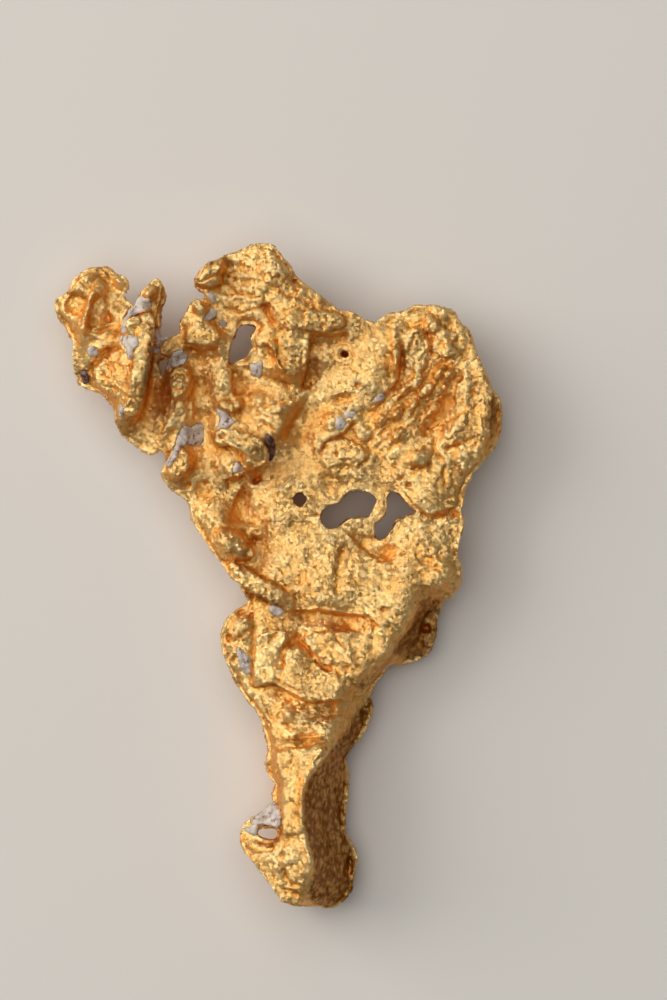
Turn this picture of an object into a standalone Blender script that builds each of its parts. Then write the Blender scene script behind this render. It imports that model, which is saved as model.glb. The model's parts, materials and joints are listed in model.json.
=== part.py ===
"""A native gold nugget with bits of milky quartz in it, lying on its back.

The nugget is a ragged sheet of gold, folded and lumpy, with a thick leg. +X is its right, +Y its
upper end and +Z the side that shows. Places and heights are millimetres from the middle of its
outline and from the surface that it lies on; MM turns them into metres.
"""

import functools
import math

import bmesh
import bpy
import numpy as np
from mathutils import Matrix, Vector, noise
from mathutils.geometry import delaunay_2d_cdt

MM = 0.001
GRID = 0.42  # spacing of the points that the sheet is made from
RIM = 0.6  # how far in from the outline the sheet is rounded
HOLE_RIM = 0.25  # the same round the holes, which are crisper
RIM_WALL = 0.3  # half the height of the thin wall round every edge
EDGE = 0.35  # width of the steep face of a ledge
THINNEST = 1.5  # least thickness of the sheet away from its edges
ENDS = 0.12  # share of its run over which a stroke fades in, and out again
CREST_END = 0.3  # how much of a crest is left at its very ends
LUMP_POINT = 1.5  # how pointed the lumps of the back are, 1 being plain domes
FRONT_ROUGHNESS = 0.22  # height of the rough lumps all over the front
BACK_ROUGHNESS = 0.5  # the same on the back
ROUGH_SIZE = 2.3  # their size
FRONT_SEED = 3.7  # which of the rough surfaces the front takes
BACK_SEED = 9.1  # and the back
VOXEL = 0.27  # size of the cells in which sheet and lumps are fused
KEEP_FACES = 0.0498  # share of the fused faces that the solid keeps
QUARTZ_GAP = 0.15  # clearance between a bit of quartz and its pocket
POCKET_ROOM = 0.45  # how much deeper the pocket is than the bit
POCKET_OPEN = 1.2  # how far the tool that cuts a pocket stands out of the gold
BIT_FOOT = 0.06  # how far the underside of a bit is drawn in
BIT_BEVEL = 0.1  # how far its top is drawn in
FLOOR_CUTTER = (60, 80, 6)  # size of the block that cuts the underside flat
ROUND_STEPS = 10  # points round the round hole
PINHOLE_STEPS = 6  # points round the pinhole
GOLD_COLOUR = (0.84, 0.52, 0.13)
QUARTZ_COLOUR = (0.55, 0.50, 0.50)
STAINED_COLOUR = (0.20, 0.09, 0.07)

# The outline, clockwise from the left lobe's leftmost point.
LEFT_LOBE = [
    (-20.4, 24.5), (-20.2, 25.3), (-19.3, 25.8), (-18.6, 27.0), (-17.5, 27.9), (-15.7, 28.2),
    (-14.9, 27.6), (-13.9, 26.9), (-13.6, 26.2), (-14.2, 25.7), (-13.8, 25.0), (-13.1, 24.6),
    (-13.2, 24.1), (-13.6, 23.3), (-13.1, 23.7),
]
SPUR = [
    (-12.6, 24.5), (-12.6, 25.6), (-11.6, 26.7), (-11.0, 27.2), (-10.5, 26.3), (-10.3, 25.4),
    (-10.8, 24.1), (-10.8, 22.9), (-11.0, 22.0), (-11.0, 20.9),
]
ARM = [(-10.7, 20.9), (-10.3, 21.5), (-9.3, 21.7), (-8.9, 22.2), (-9.0, 23.0), (-8.3, 24.0)]
SLIT = [
    (-7.8, 25.0), (-7.2, 25.2), (-6.5, 25.0), (-5.9, 24.4), (-5.9, 24.7), (-6.5, 25.3),
    (-6.6, 25.8),
]
TOP_LOBE = [
    (-7.5, 26.2), (-7.7, 26.9), (-6.6, 28.3), (-5.3, 29.0), (-3.6, 29.6), (-2.2, 30.2),
    (-0.8, 30.3), (-0.1, 29.7), (0.2, 29.1), (1.1, 28.1), (1.5, 27.2), (2.4, 26.6), (3.5, 25.7),
    (4.7, 24.8), (5.6, 24.1), (6.4, 24.2), (7.3, 23.7), (8.6, 23.1),
]
RIGHT_LOBE = [
    (9.9, 23.9), (11.3, 24.1), (12.4, 24.6), (14.3, 24.6), (16.0, 24.1), (16.5, 23.1),
    (17.4, 22.3), (17.8, 20.9), (18.6, 19.0), (19.5, 17.0), (20.2, 16.1), (20.4, 14.8),
    (20.2, 13.4), (19.5, 11.5), (18.1, 9.9), (17.1, 8.4), (16.8, 6.9),
]
RIGHT_SIDE = [
    (16.5, 5.9), (16.8, 5.2), (16.5, 3.5), (16.2, 2.1), (16.6, 0.9), (16.6, -0.3), (16.1, -1.5),
]
FLAP = [
    (15.0, -2.3), (14.8, -3.2), (14.2, -4.5), (13.8, -6.1), (13.3, -7.1), (12.3, -7.9),
    (11.0, -8.1), (10.0, -8.1),
]
LEG_RIGHT = [
    (9.2, -9.3), (8.3, -10.5), (8.5, -11.8), (8.3, -13.2), (7.3, -14.9), (6.1, -16.5),
    (6.4, -18.1), (6.4, -19.4), (6.0, -22.1), (6.0, -23.5), (7.1, -25.2), (7.0, -27.0),
    (6.5, -28.8), (5.6, -29.9), (4.7, -30.3),
]
FOOT = [
    (3.4, -30.0), (1.5, -29.9), (0.4, -29.5), (-0.3, -28.4), (-1.2, -27.2), (-2.2, -25.9),
    (-3.2, -24.7), (-3.5, -23.4), (-2.9, -22.2), (-1.4, -21.4), (-0.4, -20.9),
]
LEG_LEFT = [
    (-0.6, -19.8), (-0.1, -18.9), (-0.9, -18.0), (-1.1, -16.8), (-0.9, -15.9), (-1.2, -14.0),
    (-2.0, -12.2), (-3.0, -11.0), (-4.0, -9.3), (-4.9, -7.3),
]
BODY_LEFT = [
    (-5.2, -5.7), (-4.7, -3.9), (-3.6, -3.0), (-2.6, -2.6), (-3.0, -1.6), (-3.5, -0.5),
    (-4.2, -0.1), (-5.1, 1.1), (-6.2, 2.6), (-7.1, 3.8), (-7.8, 5.0), (-8.1, 6.6),
]
LEFT_SIDE = [
    (-9.6, 7.9), (-10.8, 9.3), (-10.3, 10.1), (-10.3, 11.3), (-10.9, 11.6), (-11.6, 11.1),
    (-12.8, 11.8), (-14.2, 12.8), (-14.9, 14.3), (-15.0, 15.5), (-16.2, 16.8), (-17.8, 17.3),
    (-18.5, 18.4), (-18.8, 20.3), (-18.6, 21.3), (-19.6, 23.1),
]
OUTLINE = (
    LEFT_LOBE + SPUR + ARM + SLIT + TOP_LOBE + RIGHT_LOBE + RIGHT_SIDE + FLAP + LEG_RIGHT + FOOT
    + LEG_LEFT + BODY_LEFT + LEFT_SIDE
)

# The holes that go right through, each a closed run of points.
UPPER_WINDOW = [
    (-3.6, 22.8), (-2.9, 23.1), (-1.7, 22.8), (-2.3, 22.3), (-2.5, 21.5), (-2.3, 20.9),
    (-2.9, 19.9), (-3.8, 19.6), (-4.4, 19.1), (-4.7, 19.7), (-4.4, 21.1), (-3.9, 22.3),
]
SMALL_WINDOW = [(-5.4, 23.6), (-4.5, 23.1), (-4.4, 22.6), (-4.9, 22.5), (-5.5, 22.9)]
RIDGE_HOLE = [(-11.1, 19.8), (-9.9, 19.8), (-10.2, 18.8), (-10.6, 17.8), (-10.9, 18.6)]
LONG_HOLE = [
    (3.8, 5.6), (4.3, 6.5), (5.4, 6.7), (6.2, 7.7), (7.2, 7.9), (8.2, 7.8), (9.0, 7.1),
    (8.6, 6.2), (8.3, 5.4), (7.2, 5.3), (6.2, 5.2), (5.5, 4.5), (4.6, 4.3), (3.9, 4.8),
]
BENT_HOLE = [
    (10.2, 7.9), (11.2, 7.4), (12.0, 6.4), (12.7, 6.1), (12.5, 5.6), (11.5, 5.5), (10.6, 5.0),
    (10.5, 4.4), (9.6, 3.4), (9.1, 3.2), (8.7, 3.6), (8.8, 5.0), (9.4, 5.3), (9.9, 6.2),
    (9.8, 7.1),
]
FOOT_HOLE = [(-2.0, -23.0), (0.1, -22.8), (0.0, -23.4), (-0.5, -24.0), (-1.6, -23.8)]
ROUND_HOLE_PLACE = (1.95, 7.0)
ROUND_HOLE_RADIUS = 0.72
PINHOLE_PLACE = (6.05, 20.2)
PINHOLE_RADIUS = 0.34

# Heights of the front, as spots (x, y, z) for each area.
FRONT = {
    "left lobe": [
        (-20.2, 24.5, 5.0), (-19.2, 22.6, 5.2), (-18.4, 26.8, 6.0), (-16.8, 27.8, 6.0),
        (-15.2, 27.6, 5.6), (-13.9, 26.2, 5.4), (-17.6, 25.6, 7.0), (-16.9, 23.2, 7.2),
        (-14.3, 24.8, 6.2), (-14.6, 22.6, 6.8), (-17.9, 21.2, 6.2), (-18.5, 19.6, 4.8),
        (-17.4, 18.0, 4.8), (-15.6, 19.0, 6.6), (-14.6, 16.9, 7.2), (-15.6, 16.3, 5.4),
        (-14.2, 20.0, 8.0), (-15.4, 24.4, 6.5), (-16.8, 24.4, 6.3), (-15.4, 26.0, 6.0),
    ],
    "spur": [
        (-12.6, 22.4, 8.6), (-12.5, 20.5, 9.3), (-12.9, 17.8, 9.1), (-13.7, 15.4, 7.9),
        (-14.5, 14.0, 5.8), (-11.9, 25.4, 7.8), (-11.0, 26.8, 6.4), (-10.6, 25.2, 5.2),
        (-11.1, 23.2, 5.8),
    ],
    "valley beside the spur": [
        (-11.5, 20.6, 5.6), (-11.5, 18.6, 5.0), (-11.9, 16.4, 4.9), (-12.7, 13.6, 5.1),
        (-11.6, 11.6, 4.9), (-10.6, 12.4, 5.4), (-10.4, 14.8, 5.7), (-10.5, 16.8, 5.2),
    ],
    "arm and left lumps": [
        (-10.2, 20.8, 6.8), (-8.9, 21.6, 7.0), (-8.8, 19.8, 6.2), (-9.0, 17.6, 7.2),
        (-8.4, 15.4, 6.7), (-8.3, 14.2, 6.5), (-9.6, 13.2, 5.8), (-10.0, 10.8, 5.6),
        (-9.0, 10.4, 6.9), (-10.5, 9.3, 5.7), (-8.8, 8.0, 5.2),
    ],
    "upper left plate": [
        (-8.6, 22.8, 7.2), (-7.4, 24.6, 7.3), (-7.0, 22.4, 7.9), (-5.8, 21.6, 7.6),
        (-5.8, 24.4, 6.6), (-5.9, 23.2, 6.9),
    ],
    "long channel": [
        (-7.8, 19.4, 5.6), (-6.4, 19.8, 6.3), (-7.4, 17.0, 5.0), (-7.2, 14.6, 4.6),
        (-7.0, 12.6, 4.8), (-6.7, 10.2, 5.2), (-7.0, 7.8, 5.3), (-7.9, 6.0, 5.2),
        (-5.3, 19.4, 6.6), (-4.8, 17.6, 7.0), (-6.0, 16.0, 6.0), (-5.6, 13.8, 6.3),
        (-5.4, 11.2, 6.2),
    ],
    "recess": [
        (-3.6, 17.6, 5.5), (-2.8, 18.3, 5.8), (-1.4, 17.2, 6.2), (0.6, 17.0, 6.5),
        (-1.6, 15.6, 6.6), (0.6, 15.4, 7.1), (-3.4, 14.6, 5.8), (-1.2, 14.0, 6.9),
        (-0.4, 12.9, 7.0),
    ],
    "left middle": [
        (-0.6, 11.2, 5.7), (-1.8, 9.4, 5.2), (-0.8, 10.0, 5.2), (0.2, 8.6, 5.6),
        (-4.3, 9.3, 6.9), (-4.8, 8.3, 5.8), (-6.0, 6.2, 6.1), (-5.2, 5.4, 6.4),
        (-3.4, 7.0, 4.7), (-3.2, 5.2, 4.8), (-2.0, 6.8, 5.5), (-2.9, 4.2, 5.0),
        (-7.2, 4.6, 5.4), (-6.0, 3.0, 5.4), (-4.6, 3.2, 7.0), (-2.2, 3.0, 4.9),
        (-2.6, 1.2, 5.2), (-4.6, 1.2, 5.8), (-3.4, 0.2, 6.6), (-1.2, -1.0, 6.6),
        (-2.4, -1.8, 5.4), (0.4, -2.6, 6.0),
    ],
    "main plate": [
        (-0.8, 1.6, 5.9), (-0.8, 5.4, 6.0), (1.2, 4.8, 6.3), (1.6, 8.2, 6.0), (3.0, 9.6, 5.9),
        (3.4, 2.0, 6.6), (1.2, -0.6, 6.6), (3.0, -2.4, 6.9), (5.6, -2.6, 7.0),
        (5.4, 1.6, 6.7), (5.6, 3.8, 6.5), (7.4, 4.4, 5.9), (8.4, 3.2, 5.7), (9.6, 2.4, 5.9),
        (10.6, 3.6, 6.3), (8.6, 0.6, 6.9), (7.6, -2.4, 7.0), (10.4, -1.2, 7.3),
        (11.6, 1.4, 7.1), (10.6, -3.6, 7.2), (12.4, -2.0, 7.2), (13.6, 0.6, 6.9),
        (14.6, -0.9, 6.8), (16.0, 0.0, 6.2), (14.6, 3.0, 6.6), (12.0, 4.6, 6.5),
        (16.0, 3.6, 6.1), (15.0, 5.2, 6.3),
    ],
    "above the holes": [
        (13.4, 7.2, 7.0), (16.2, 7.6, 6.6), (15.0, 9.2, 7.0), (12.6, 9.2, 6.8),
        (10.6, 8.4, 6.4), (9.3, 6.2, 5.9), (7.6, 8.6, 6.1), (5.6, 9.6, 6.2), (7.6, 10.2, 6.4),
        (5.0, 7.4, 5.8), (6.0, 11.6, 6.4), (7.4, 12.6, 6.2), (9.8, 10.6, 6.5),
        (12.6, 11.0, 7.0),
    ],
    "right middle": [
        (10.0, 13.0, 6.5), (12.2, 14.0, 6.6), (14.0, 14.0, 6.1), (15.4, 16.0, 6.2),
        (13.8, 16.6, 6.7), (11.4, 16.0, 6.5), (16.2, 13.4, 7.1), (17.8, 11.6, 6.8),
        (18.2, 14.2, 7.2), (18.0, 17.0, 7.0), (16.8, 18.6, 6.8), (19.3, 14.6, 5.2),
        (20.2, 14.6, 4.2), (19.6, 16.8, 5.0), (19.2, 12.2, 5.6), (17.4, 9.8, 6.5),
    ],
    "right lobe": [
        (12.6, 20.4, 7.5), (12.8, 22.6, 7.2), (14.6, 23.8, 6.9), (16.0, 23.4, 6.3),
        (16.6, 22.2, 6.5), (15.6, 20.8, 7.2), (17.2, 20.6, 6.7), (14.2, 18.8, 6.8),
        (11.0, 23.4, 6.7), (10.4, 21.0, 7.4), (11.3, 18.6, 6.8),
    ],
    "right plate and basins": [
        (8.8, 19.6, 7.3), (8.4, 17.2, 7.2), (9.0, 22.2, 6.9), (6.6, 18.0, 6.8),
        (6.8, 21.0, 6.7), (5.0, 20.8, 6.5), (4.0, 19.2, 6.1), (4.6, 17.4, 6.2),
        (3.3, 18.2, 5.8), (3.4, 16.2, 5.8), (5.4, 15.4, 6.3), (4.6, 13.8, 6.4),
        (3.2, 12.8, 5.9), (2.0, 12.6, 5.2), (1.4, 11.6, 5.3), (2.8, 11.0, 5.7),
        (4.2, 10.4, 6.1), (2.6, 14.8, 5.3),
    ],
    "upper plate": [
        (2.0, 21.4, 7.8), (0.6, 21.0, 7.7), (1.3, 18.6, 7.5), (-1.0, 20.4, 7.1),
        (-1.2, 19.0, 6.9), (-1.6, 22.0, 7.0), (0.2, 23.4, 7.7), (2.6, 23.4, 7.8),
        (4.8, 23.2, 7.6), (6.0, 22.8, 7.3), (5.0, 24.2, 7.0), (7.4, 22.9, 6.8),
        (3.2, 25.4, 7.2),
    ],
    "top lobe": [
        (-4.6, 25.4, 6.5), (-3.0, 24.4, 6.8), (-1.6, 24.0, 6.8), (-3.0, 26.6, 7.1),
        (-1.4, 26.4, 7.7), (0.6, 27.0, 7.6), (1.6, 25.4, 7.6), (-0.6, 29.2, 7.3),
        (-2.4, 28.8, 7.1), (-4.5, 28.2, 6.6), (-6.0, 27.8, 8.0), (-6.8, 26.6, 7.1),
        (-4.9, 26.4, 6.3), (-4.2, 23.6, 6.5), (-3.9, 22.8, 6.5), (-3.4, 29.4, 6.5),
        (0.8, 28.2, 7.1),
    ],
    "body": [
        (-4.6, -5.0, 5.7), (-3.2, -4.2, 6.2), (-2.6, -6.4, 6.3), (-4.2, -7.6, 5.7),
        (-3.0, -9.4, 5.6), (-1.6, -5.6, 6.5), (-0.8, -4.2, 6.2), (0.6, -3.8, 6.0),
        (3.0, -4.2, 5.8), (6.0, -4.2, 5.9), (0.6, -5.4, 6.5), (1.8, -5.8, 6.3),
        (3.6, -5.4, 6.6), (6.0, -5.8, 6.9), (8.6, -4.8, 7.0), (8.6, -6.6, 7.0),
        (7.2, -8.2, 7.1), (1.6, -7.6, 7.1), (-1.4, -8.8, 7.0), (3.0, -9.0, 7.3),
        (4.6, -8.6, 7.0), (5.0, -10.6, 7.7), (2.4, -10.4, 7.7), (10.4, -5.4, 6.9),
        (9.2, -7.8, 6.5), (9.4, -9.0, 4.2), (7.2, -9.6, 6.4), (7.9, -10.8, 3.8),
        (8.2, -12.0, 3.0), (11.3, -5.0, 6.7), (12.1, -3.2, 6.9), (10.2, -6.9, 6.6),
    ],
    "flap": [
        (14.0, -3.0, 3.0), (12.9, -5.2, 2.6), (13.4, -6.4, 2.6), (11.5, -7.4, 2.5),
        (14.8, -2.1, 3.4), (13.4, -3.6, 3.0), (12.3, -6.2, 2.7), (10.6, -8.0, 2.9),
    ],
    "leg": [
        (-1.8, -10.6, 6.4), (0.2, -10.8, 6.5), (-1.2, -12.4, 6.0), (0.8, -12.4, 7.0),
        (4.4, -12.2, 6.7), (6.6, -12.2, 4.6), (2.4, -13.2, 7.7), (5.0, -13.2, 7.3),
        (2.4, -14.4, 7.4), (-0.6, -14.6, 6.4), (2.2, -15.6, 8.8), (4.0, -15.8, 8.8),
        (0.4, -16.4, 8.5), (2.8, -17.4, 9.4), (0.6, -19.0, 8.8), (2.0, -19.4, 9.6),
        (0.7, -21.6, 8.8), (2.0, -21.8, 9.6), (4.4, -19.0, 6.2), (4.2, -22.0, 6.0),
        (5.8, -18.4, 3.2), (5.6, -21.8, 3.0), (7.2, -14.4, 2.8), (5.8, -16.2, 4.2),
        (-0.8, -17.0, 5.4), (-0.4, -19.8, 5.6),
    ],
    "foot": [
        (1.4, -23.4, 9.0), (2.4, -24.6, 9.5), (2.8, -26.2, 9.4), (1.0, -26.4, 8.8),
        (2.4, -28.6, 8.0), (0.8, -28.4, 7.4), (-1.0, -26.2, 7.6), (-2.4, -24.6, 6.8),
        (-3.1, -23.6, 5.8), (-0.6, -24.8, 7.8), (-2.2, -22.4, 5.8), (-0.6, -21.6, 6.2),
        (4.6, -25.6, 6.0), (6.6, -25.8, 3.2), (5.0, -28.4, 4.8),
    ],
}

# Heights of the back above the surface that the nugget lies on.
BACK = {
    "left lobe and spur": [
        (-19.5, 24.5, 3.0), (-17.0, 27.0, 3.4), (-14.2, 26.2, 3.4), (-17.0, 22.5, 2.4),
        (-14.5, 24.6, 3.3), (-17.8, 19.0, 2.6), (-15.5, 17.0, 2.3), (-14.0, 21.0, 2.4),
        (-11.0, 26.4, 4.2), (-12.3, 22.0, 2.8), (-12.6, 18.0, 2.0), (-13.8, 14.6, 2.5),
        (-11.5, 12.0, 2.6), (-11.5, 17.0, 2.1),
    ],
    "arm and channel": [
        (-9.5, 21.0, 4.2), (-9.0, 17.5, 3.5), (-9.0, 13.5, 2.9), (-9.6, 9.8, 3.0),
        (-7.5, 23.0, 4.6), (-6.5, 25.0, 4.4), (-7.2, 16.0, 1.9), (-6.8, 11.0, 2.1),
        (-7.0, 7.5, 2.4),
    ],
    "middle": [
        (-4.8, 18.0, 3.2), (-2.5, 17.5, 2.5), (0.5, 16.5, 3.4), (-2.5, 13.5, 2.6),
        (-1.5, 10.0, 1.6), (-3.2, 6.4, 1.5), (-5.5, 5.5, 2.8), (-4.5, 2.5, 2.6),
        (-2.2, 2.6, 1.5), (2.0, 6.5, 4.3), (1.5, 2.0, 3.6), (5.0, 1.0, 3.7), (9.0, 2.5, 3.7),
        (10.5, -1.5, 3.6), (15.0, 1.0, 3.6), (5.0, -3.8, 2.3), (0.0, -1.5, 3.0),
    ],
    "upper side": [
        (-2.0, 28.5, 4.2), (0.0, 25.0, 4.6), (-5.8, 27.4, 4.6), (-4.4, 23.5, 3.8),
        (1.5, 21.0, 4.6), (4.5, 23.2, 4.6), (5.0, 20.5, 3.0), (3.0, 17.8, 1.7),
        (2.0, 12.4, 1.7), (8.5, 19.0, 3.6), (10.5, 22.0, 3.8), (13.0, 22.0, 3.6),
        (16.5, 22.2, 3.1), (15.5, 18.0, 3.3), (19.8, 14.6, 1.7), (18.0, 11.5, 3.6),
        (12.5, 14.5, 2.9), (8.5, 12.0, 3.5), (5.0, 13.8, 3.5), (6.5, 9.0, 4.2),
        (9.3, 6.2, 4.4), (13.5, 9.0, 3.7), (16.4, 6.0, 3.6), (12.2, 6.0, 4.3),
    ],
    "body and flap": [
        (-4.4, -5.5, 2.6), (0.0, -6.0, 2.2), (5.0, -6.5, 2.4), (9.0, -5.0, 2.6),
        (13.0, -5.5, 0.8), (14.9, -2.2, 1.6), (11.2, -7.6, 0.8),
    ],
    "leg and foot": [
        (-1.5, -11.0, 2.2), (3.0, -10.5, 1.5), (7.8, -11.5, 0.8), (2.0, -15.0, 0.9),
        (6.0, -15.5, 0.8), (-0.9, -17.0, 2.8), (-0.4, -19.8, 3.0), (4.5, -19.5, 0.6),
        (1.0, -22.0, 1.3), (4.5, -24.0, 0.6), (-2.8, -24.0, 3.0), (-1.2, -21.9, 3.6),
        (0.0, -27.0, 2.4), (4.0, -28.5, 0.8), (6.6, -26.0, 0.9), (5.9, -22.0, 0.9),
    ],
}

# Ledges: the ground right of the run drops by so much and comes back level over the reach.
LEDGES = [
    ("main plate lip", [(9.4, -4.6), (8.2, -3.4), (5.5, -3.3), (3.6, -2.9), (1.0, -3.0)][::-1],
     1.0, 1.6),
    ("cliff under the upper plate", [(1.9, 16.9), (2.4, 18.6), (2.6, 20.2), (2.9, 21.9)],
     1.2, 1.6),
    ("shelf over the right basin", [(2.7, 22.0), (4.8, 22.05), (6.5, 22.3)], 0.8, 1.5),
    ("leaf edge", [(3.5, 11.0), (4.0, 12.3), (6.0, 13.2), (6.8, 14.4)], 0.7, 2.0),
    ("right plate edge", [(6.9, 14.7), (8.7, 15.4), (9.7, 16.6), (10.8, 18.0), (10.9, 21.0)],
     0.5, 1.2),
    ("channel bank", [(-4.3, 19.0), (-4.3, 17.2), (-4.1, 16.3)][::-1], 1.0, 1.6),
    ("upper left plate edge", [(-8.6, 21.0), (-7.0, 20.7), (-5.4, 21.0)], 0.9, 1.6),
    ("ledge under the bent hole", [(6.2, 3.9), (7.4, 2.6), (9.2, 1.3), (10.6, 1.3)][::-1],
     0.5, 1.6),
    ("crack to the right side", [(12.8, 5.9), (14.2, 5.9), (16.2, 6.5)], 0.4, 1.2),
    ("brow of the body", [(-2.6, -9.9), (-0.4, -9.6), (1.4, -10.6), (3.2, -11.3), (6.2, -11.0)],
     1.1, 1.8),
    ("bowl brow", [(-17.4, 22.4), (-15.9, 22.8), (-14.8, 23.2)][::-1], 0.9, 1.4),
    ("fold over the ridge plate", [(-17.2, 20.3), (-15.9, 20.8), (-14.2, 21.0)], 0.6, 1.4),
    ("lip over the left basin", [(-5.0, 8.9), (-3.9, 9.1), (-3.0, 9.5)], 1.0, 1.3),
    ("right lobe plate", [(11.8, 19.0), (11.7, 21.0), (12.2, 21.9), (13.4, 21.4), (13.6, 20.0)],
     0.4, 1.0),
    ("plate side", [(8.2, -9.6), (9.3, -8.3), (10.6, -6.5), (11.7, -4.6), (12.8, -2.4)],
     1.2, 1.2),
    ("body plate edge", [(0.2, -9.0), (0.3, -7.2), (1.7, -5.9), (3.4, -7.6), (4.6, -8.0)],
     0.6, 1.2),
]

# Crests: a rise along a run, with its own slope on the left and on the right of it.
CRESTS = [
    ("spur ridge", [(-12.2, 23.4), (-12.5, 20.6), (-12.9, 18.2), (-13.5, 15.8), (-14.3, 14.5)],
     1.3, 1.4, 0.6),
    ("lobe ridge", [(-16.0, 26.3), (-17.0, 24.8), (-17.6, 23.4), (-17.7, 21.8)], 0.9, 0.8, 0.8),
    ("lobe rim", [(-19.8, 24.2), (-19.2, 25.4), (-18.0, 27.0), (-16.6, 27.6)], 0.6, 0.6, 0.9),
    ("rough ridge", [(-4.6, 0.6), (-3.0, 0.1), (-1.4, -0.7), (0.2, -1.8), (1.2, -2.6)],
     0.9, 0.8, 0.8),
    ("leg crest", [(5.6, -14.3), (4.3, -15.9), (2.9, -17.6), (2.1, -19.4), (2.1, -21.6),
                   (2.4, -23.6), (3.0, -25.6), (2.9, -27.6)], 0.5, 1.0, 0.7),
    ("right plate rim", [(10.3, 22.4), (10.7, 20.4), (10.6, 18.2)], 0.35, 0.7, 0.5),
    ("window rim", [(-0.9, 21.6), (-0.3, 20.8), (0.0, 19.3), (0.7, 18.4)], 0.5, 0.5, 0.5),
    ("lip rim", [(7.2, -3.5), (8.2, -4.0), (8.4, -5.0)], 0.5, 0.5, 0.5),
]

# Grooves: the same, downwards.
GROOVES = [
    ("top lobe groove", [(-4.4, 29.0), (-4.7, 27.6), (-5.0, 26.2)], 0.5, 0.9, 0.7),
    ("right lobe groove", [(13.2, 22.4), (13.9, 21.4), (14.0, 19.8)], 0.4, 0.7, 0.7),
    ("body valley", [(1.4, -4.6), (1.7, -5.6), (2.4, -6.4), (3.4, -7.5)], 0.4, 0.8, 0.6),
    ("body left valley", [(1.6, -5.8), (0.4, -6.8), (0.1, -8.6)], 0.35, 0.6, 0.6),
    ("pitted lobe valley", [(-2.2, -3.6), (-2.3, -6.0), (-2.5, -9.6), (-2.4, -11.0)],
     0.5, 0.7, 0.5),
    ("smooth band", [(15.4, 16.9), (15.3, 15.0), (14.2, 13.8), (12.9, 12.8)], 0.35, 0.8, 0.8),
    ("upper plate crease", [(-1.4, 24.8), (-0.6, 23.2), (0.6, 22.0)], 0.3, 0.6, 0.6),
    ("plate crack", [(6.1, 3.2), (5.6, 1.6), (5.4, 0.2), (5.2, -1.6)], 0.15, 0.5, 0.5),
    ("spur valley", [(-11.4, 20.4), (-11.4, 18.2), (-11.9, 16.0), (-12.6, 13.6)], 0.6, 0.9, 1.0),
]

# Domes on the front: x, y, half length, half width, turn in degrees, rise. A bowl's rise is negative.
DOMES = [
    ("lobe bowl", -18.4, 24.8, 1.3, 1.5, 20, -0.9),
    ("striated bowl", -16.3, 24.4, 1.0, 1.5, -20, -0.6),
    ("lobe notch", -15.3, 26.6, 0.6, 0.8, 0, -0.4),
    ("ridge plate", -15.1, 18.0, 2.2, 1.9, 30, 0.9),
    ("spur tip", -11.4, 26.0, 0.8, 1.1, -35, 0.9),
    ("left lump", -8.9, 17.6, 1.3, 1.6, 0, 1.2),
    ("vein lump", -8.9, 10.3, 1.3, 1.8, -20, 1.1),
    ("channel bowl", -6.9, 7.8, 1.0, 1.3, 0, -0.35),
    ("curved cliff foot", -3.4, 6.4, 0.8, 2.0, -15, -0.7),
    ("pocket under the curl", -1.9, 9.1, 0.9, 0.6, 40, -0.4),
    ("rough lump", -4.5, 3.0, 2.0, 1.5, -25, 1.3),
    ("pocket beside the lump", -2.2, 3.2, 0.6, 0.9, 0, -0.2),
    ("recess dome", -2.0, 16.2, 1.0, 0.9, 0, 0.5),
    ("orange bowl", 0.9, 17.6, 0.9, 0.6, 0, -0.5),
    ("recess lip bowl", 1.5, 15.9, 0.7, 0.5, 30, -0.6),
    ("right basin", 4.9, 20.9, 1.7, 1.2, 10, -0.25),
    ("pinhole basin", 6.1, 20.3, 0.9, 0.8, 0, -0.3),
    ("shallow dent", 5.9, 16.2, 1.3, 0.6, 10, -0.4),
    ("basin behind the pit", 5.0, 14.2, 1.3, 0.9, 20, 0.4),
    ("shaded dome", 7.6, 13.2, 0.9, 0.7, -30, 0.5),
    ("knobbly dome", 6.6, 11.2, 1.8, 0.9, -5, 0.7),
    ("top lobe knob", -6.2, 27.5, 1.7, 0.8, 35, 0.9),
    ("top lobe lump", -5.9, 26.7, 0.9, 0.5, 15, 0.5),
    ("top lobe brow", -0.2, 28.0, 1.6, 1.6, 0, 0.6),
    ("top lobe pit", -2.8, 26.8, 0.8, 0.6, 0, -0.5),
    ("upper bowl", -1.0, 20.2, 0.7, 1.2, 15, -0.5),
    ("shelf lump", 4.0, 23.1, 2.2, 0.9, 5, 0.5),
    ("right lobe lump", 15.4, 20.7, 0.7, 1.0, 10, 0.6),
    ("right lobe upper lump", 13.9, 23.0, 0.8, 1.0, 20, 0.5),
    ("right brow", 17.6, 16.6, 1.2, 1.6, 15, 0.5),
    ("right plate", 15.9, 13.2, 1.0, 1.8, -35, 0.5),
    ("plate over the hole", 12.7, 10.7, 1.2, 0.9, 25, 0.5),
    ("floor of the bent hole", 9.9, 2.3, 1.1, 0.8, 0, -0.4),
    ("body bowl", 6.2, -4.7, 1.3, 0.7, 0, -0.4),
    ("body plate", 1.7, -7.6, 1.2, 1.5, -15, 0.6),
    ("body lower pit", 4.5, -8.4, 0.6, 0.4, -20, -0.3),
    ("body small bowl", 2.9, -8.1, 0.6, 0.6, 0, -0.35),
    ("pitted lobe", -3.4, -4.6, 1.3, 1.1, 20, 0.4),
    ("leg hollow", 0.3, -10.9, 0.9, 1.1, 30, -0.3),
    ("leg hollow dome", 0.8, -12.2, 0.8, 1.0, 10, 0.5),
    ("leg lower hollow", 4.4, -12.0, 1.4, 0.6, -5, -0.4),
    ("leg waist", 2.6, -14.6, 1.9, 0.5, 5, -0.6),
    ("foot side bowl", 6.3, -26.6, 0.5, 1.2, 0, -0.4),
]
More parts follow.
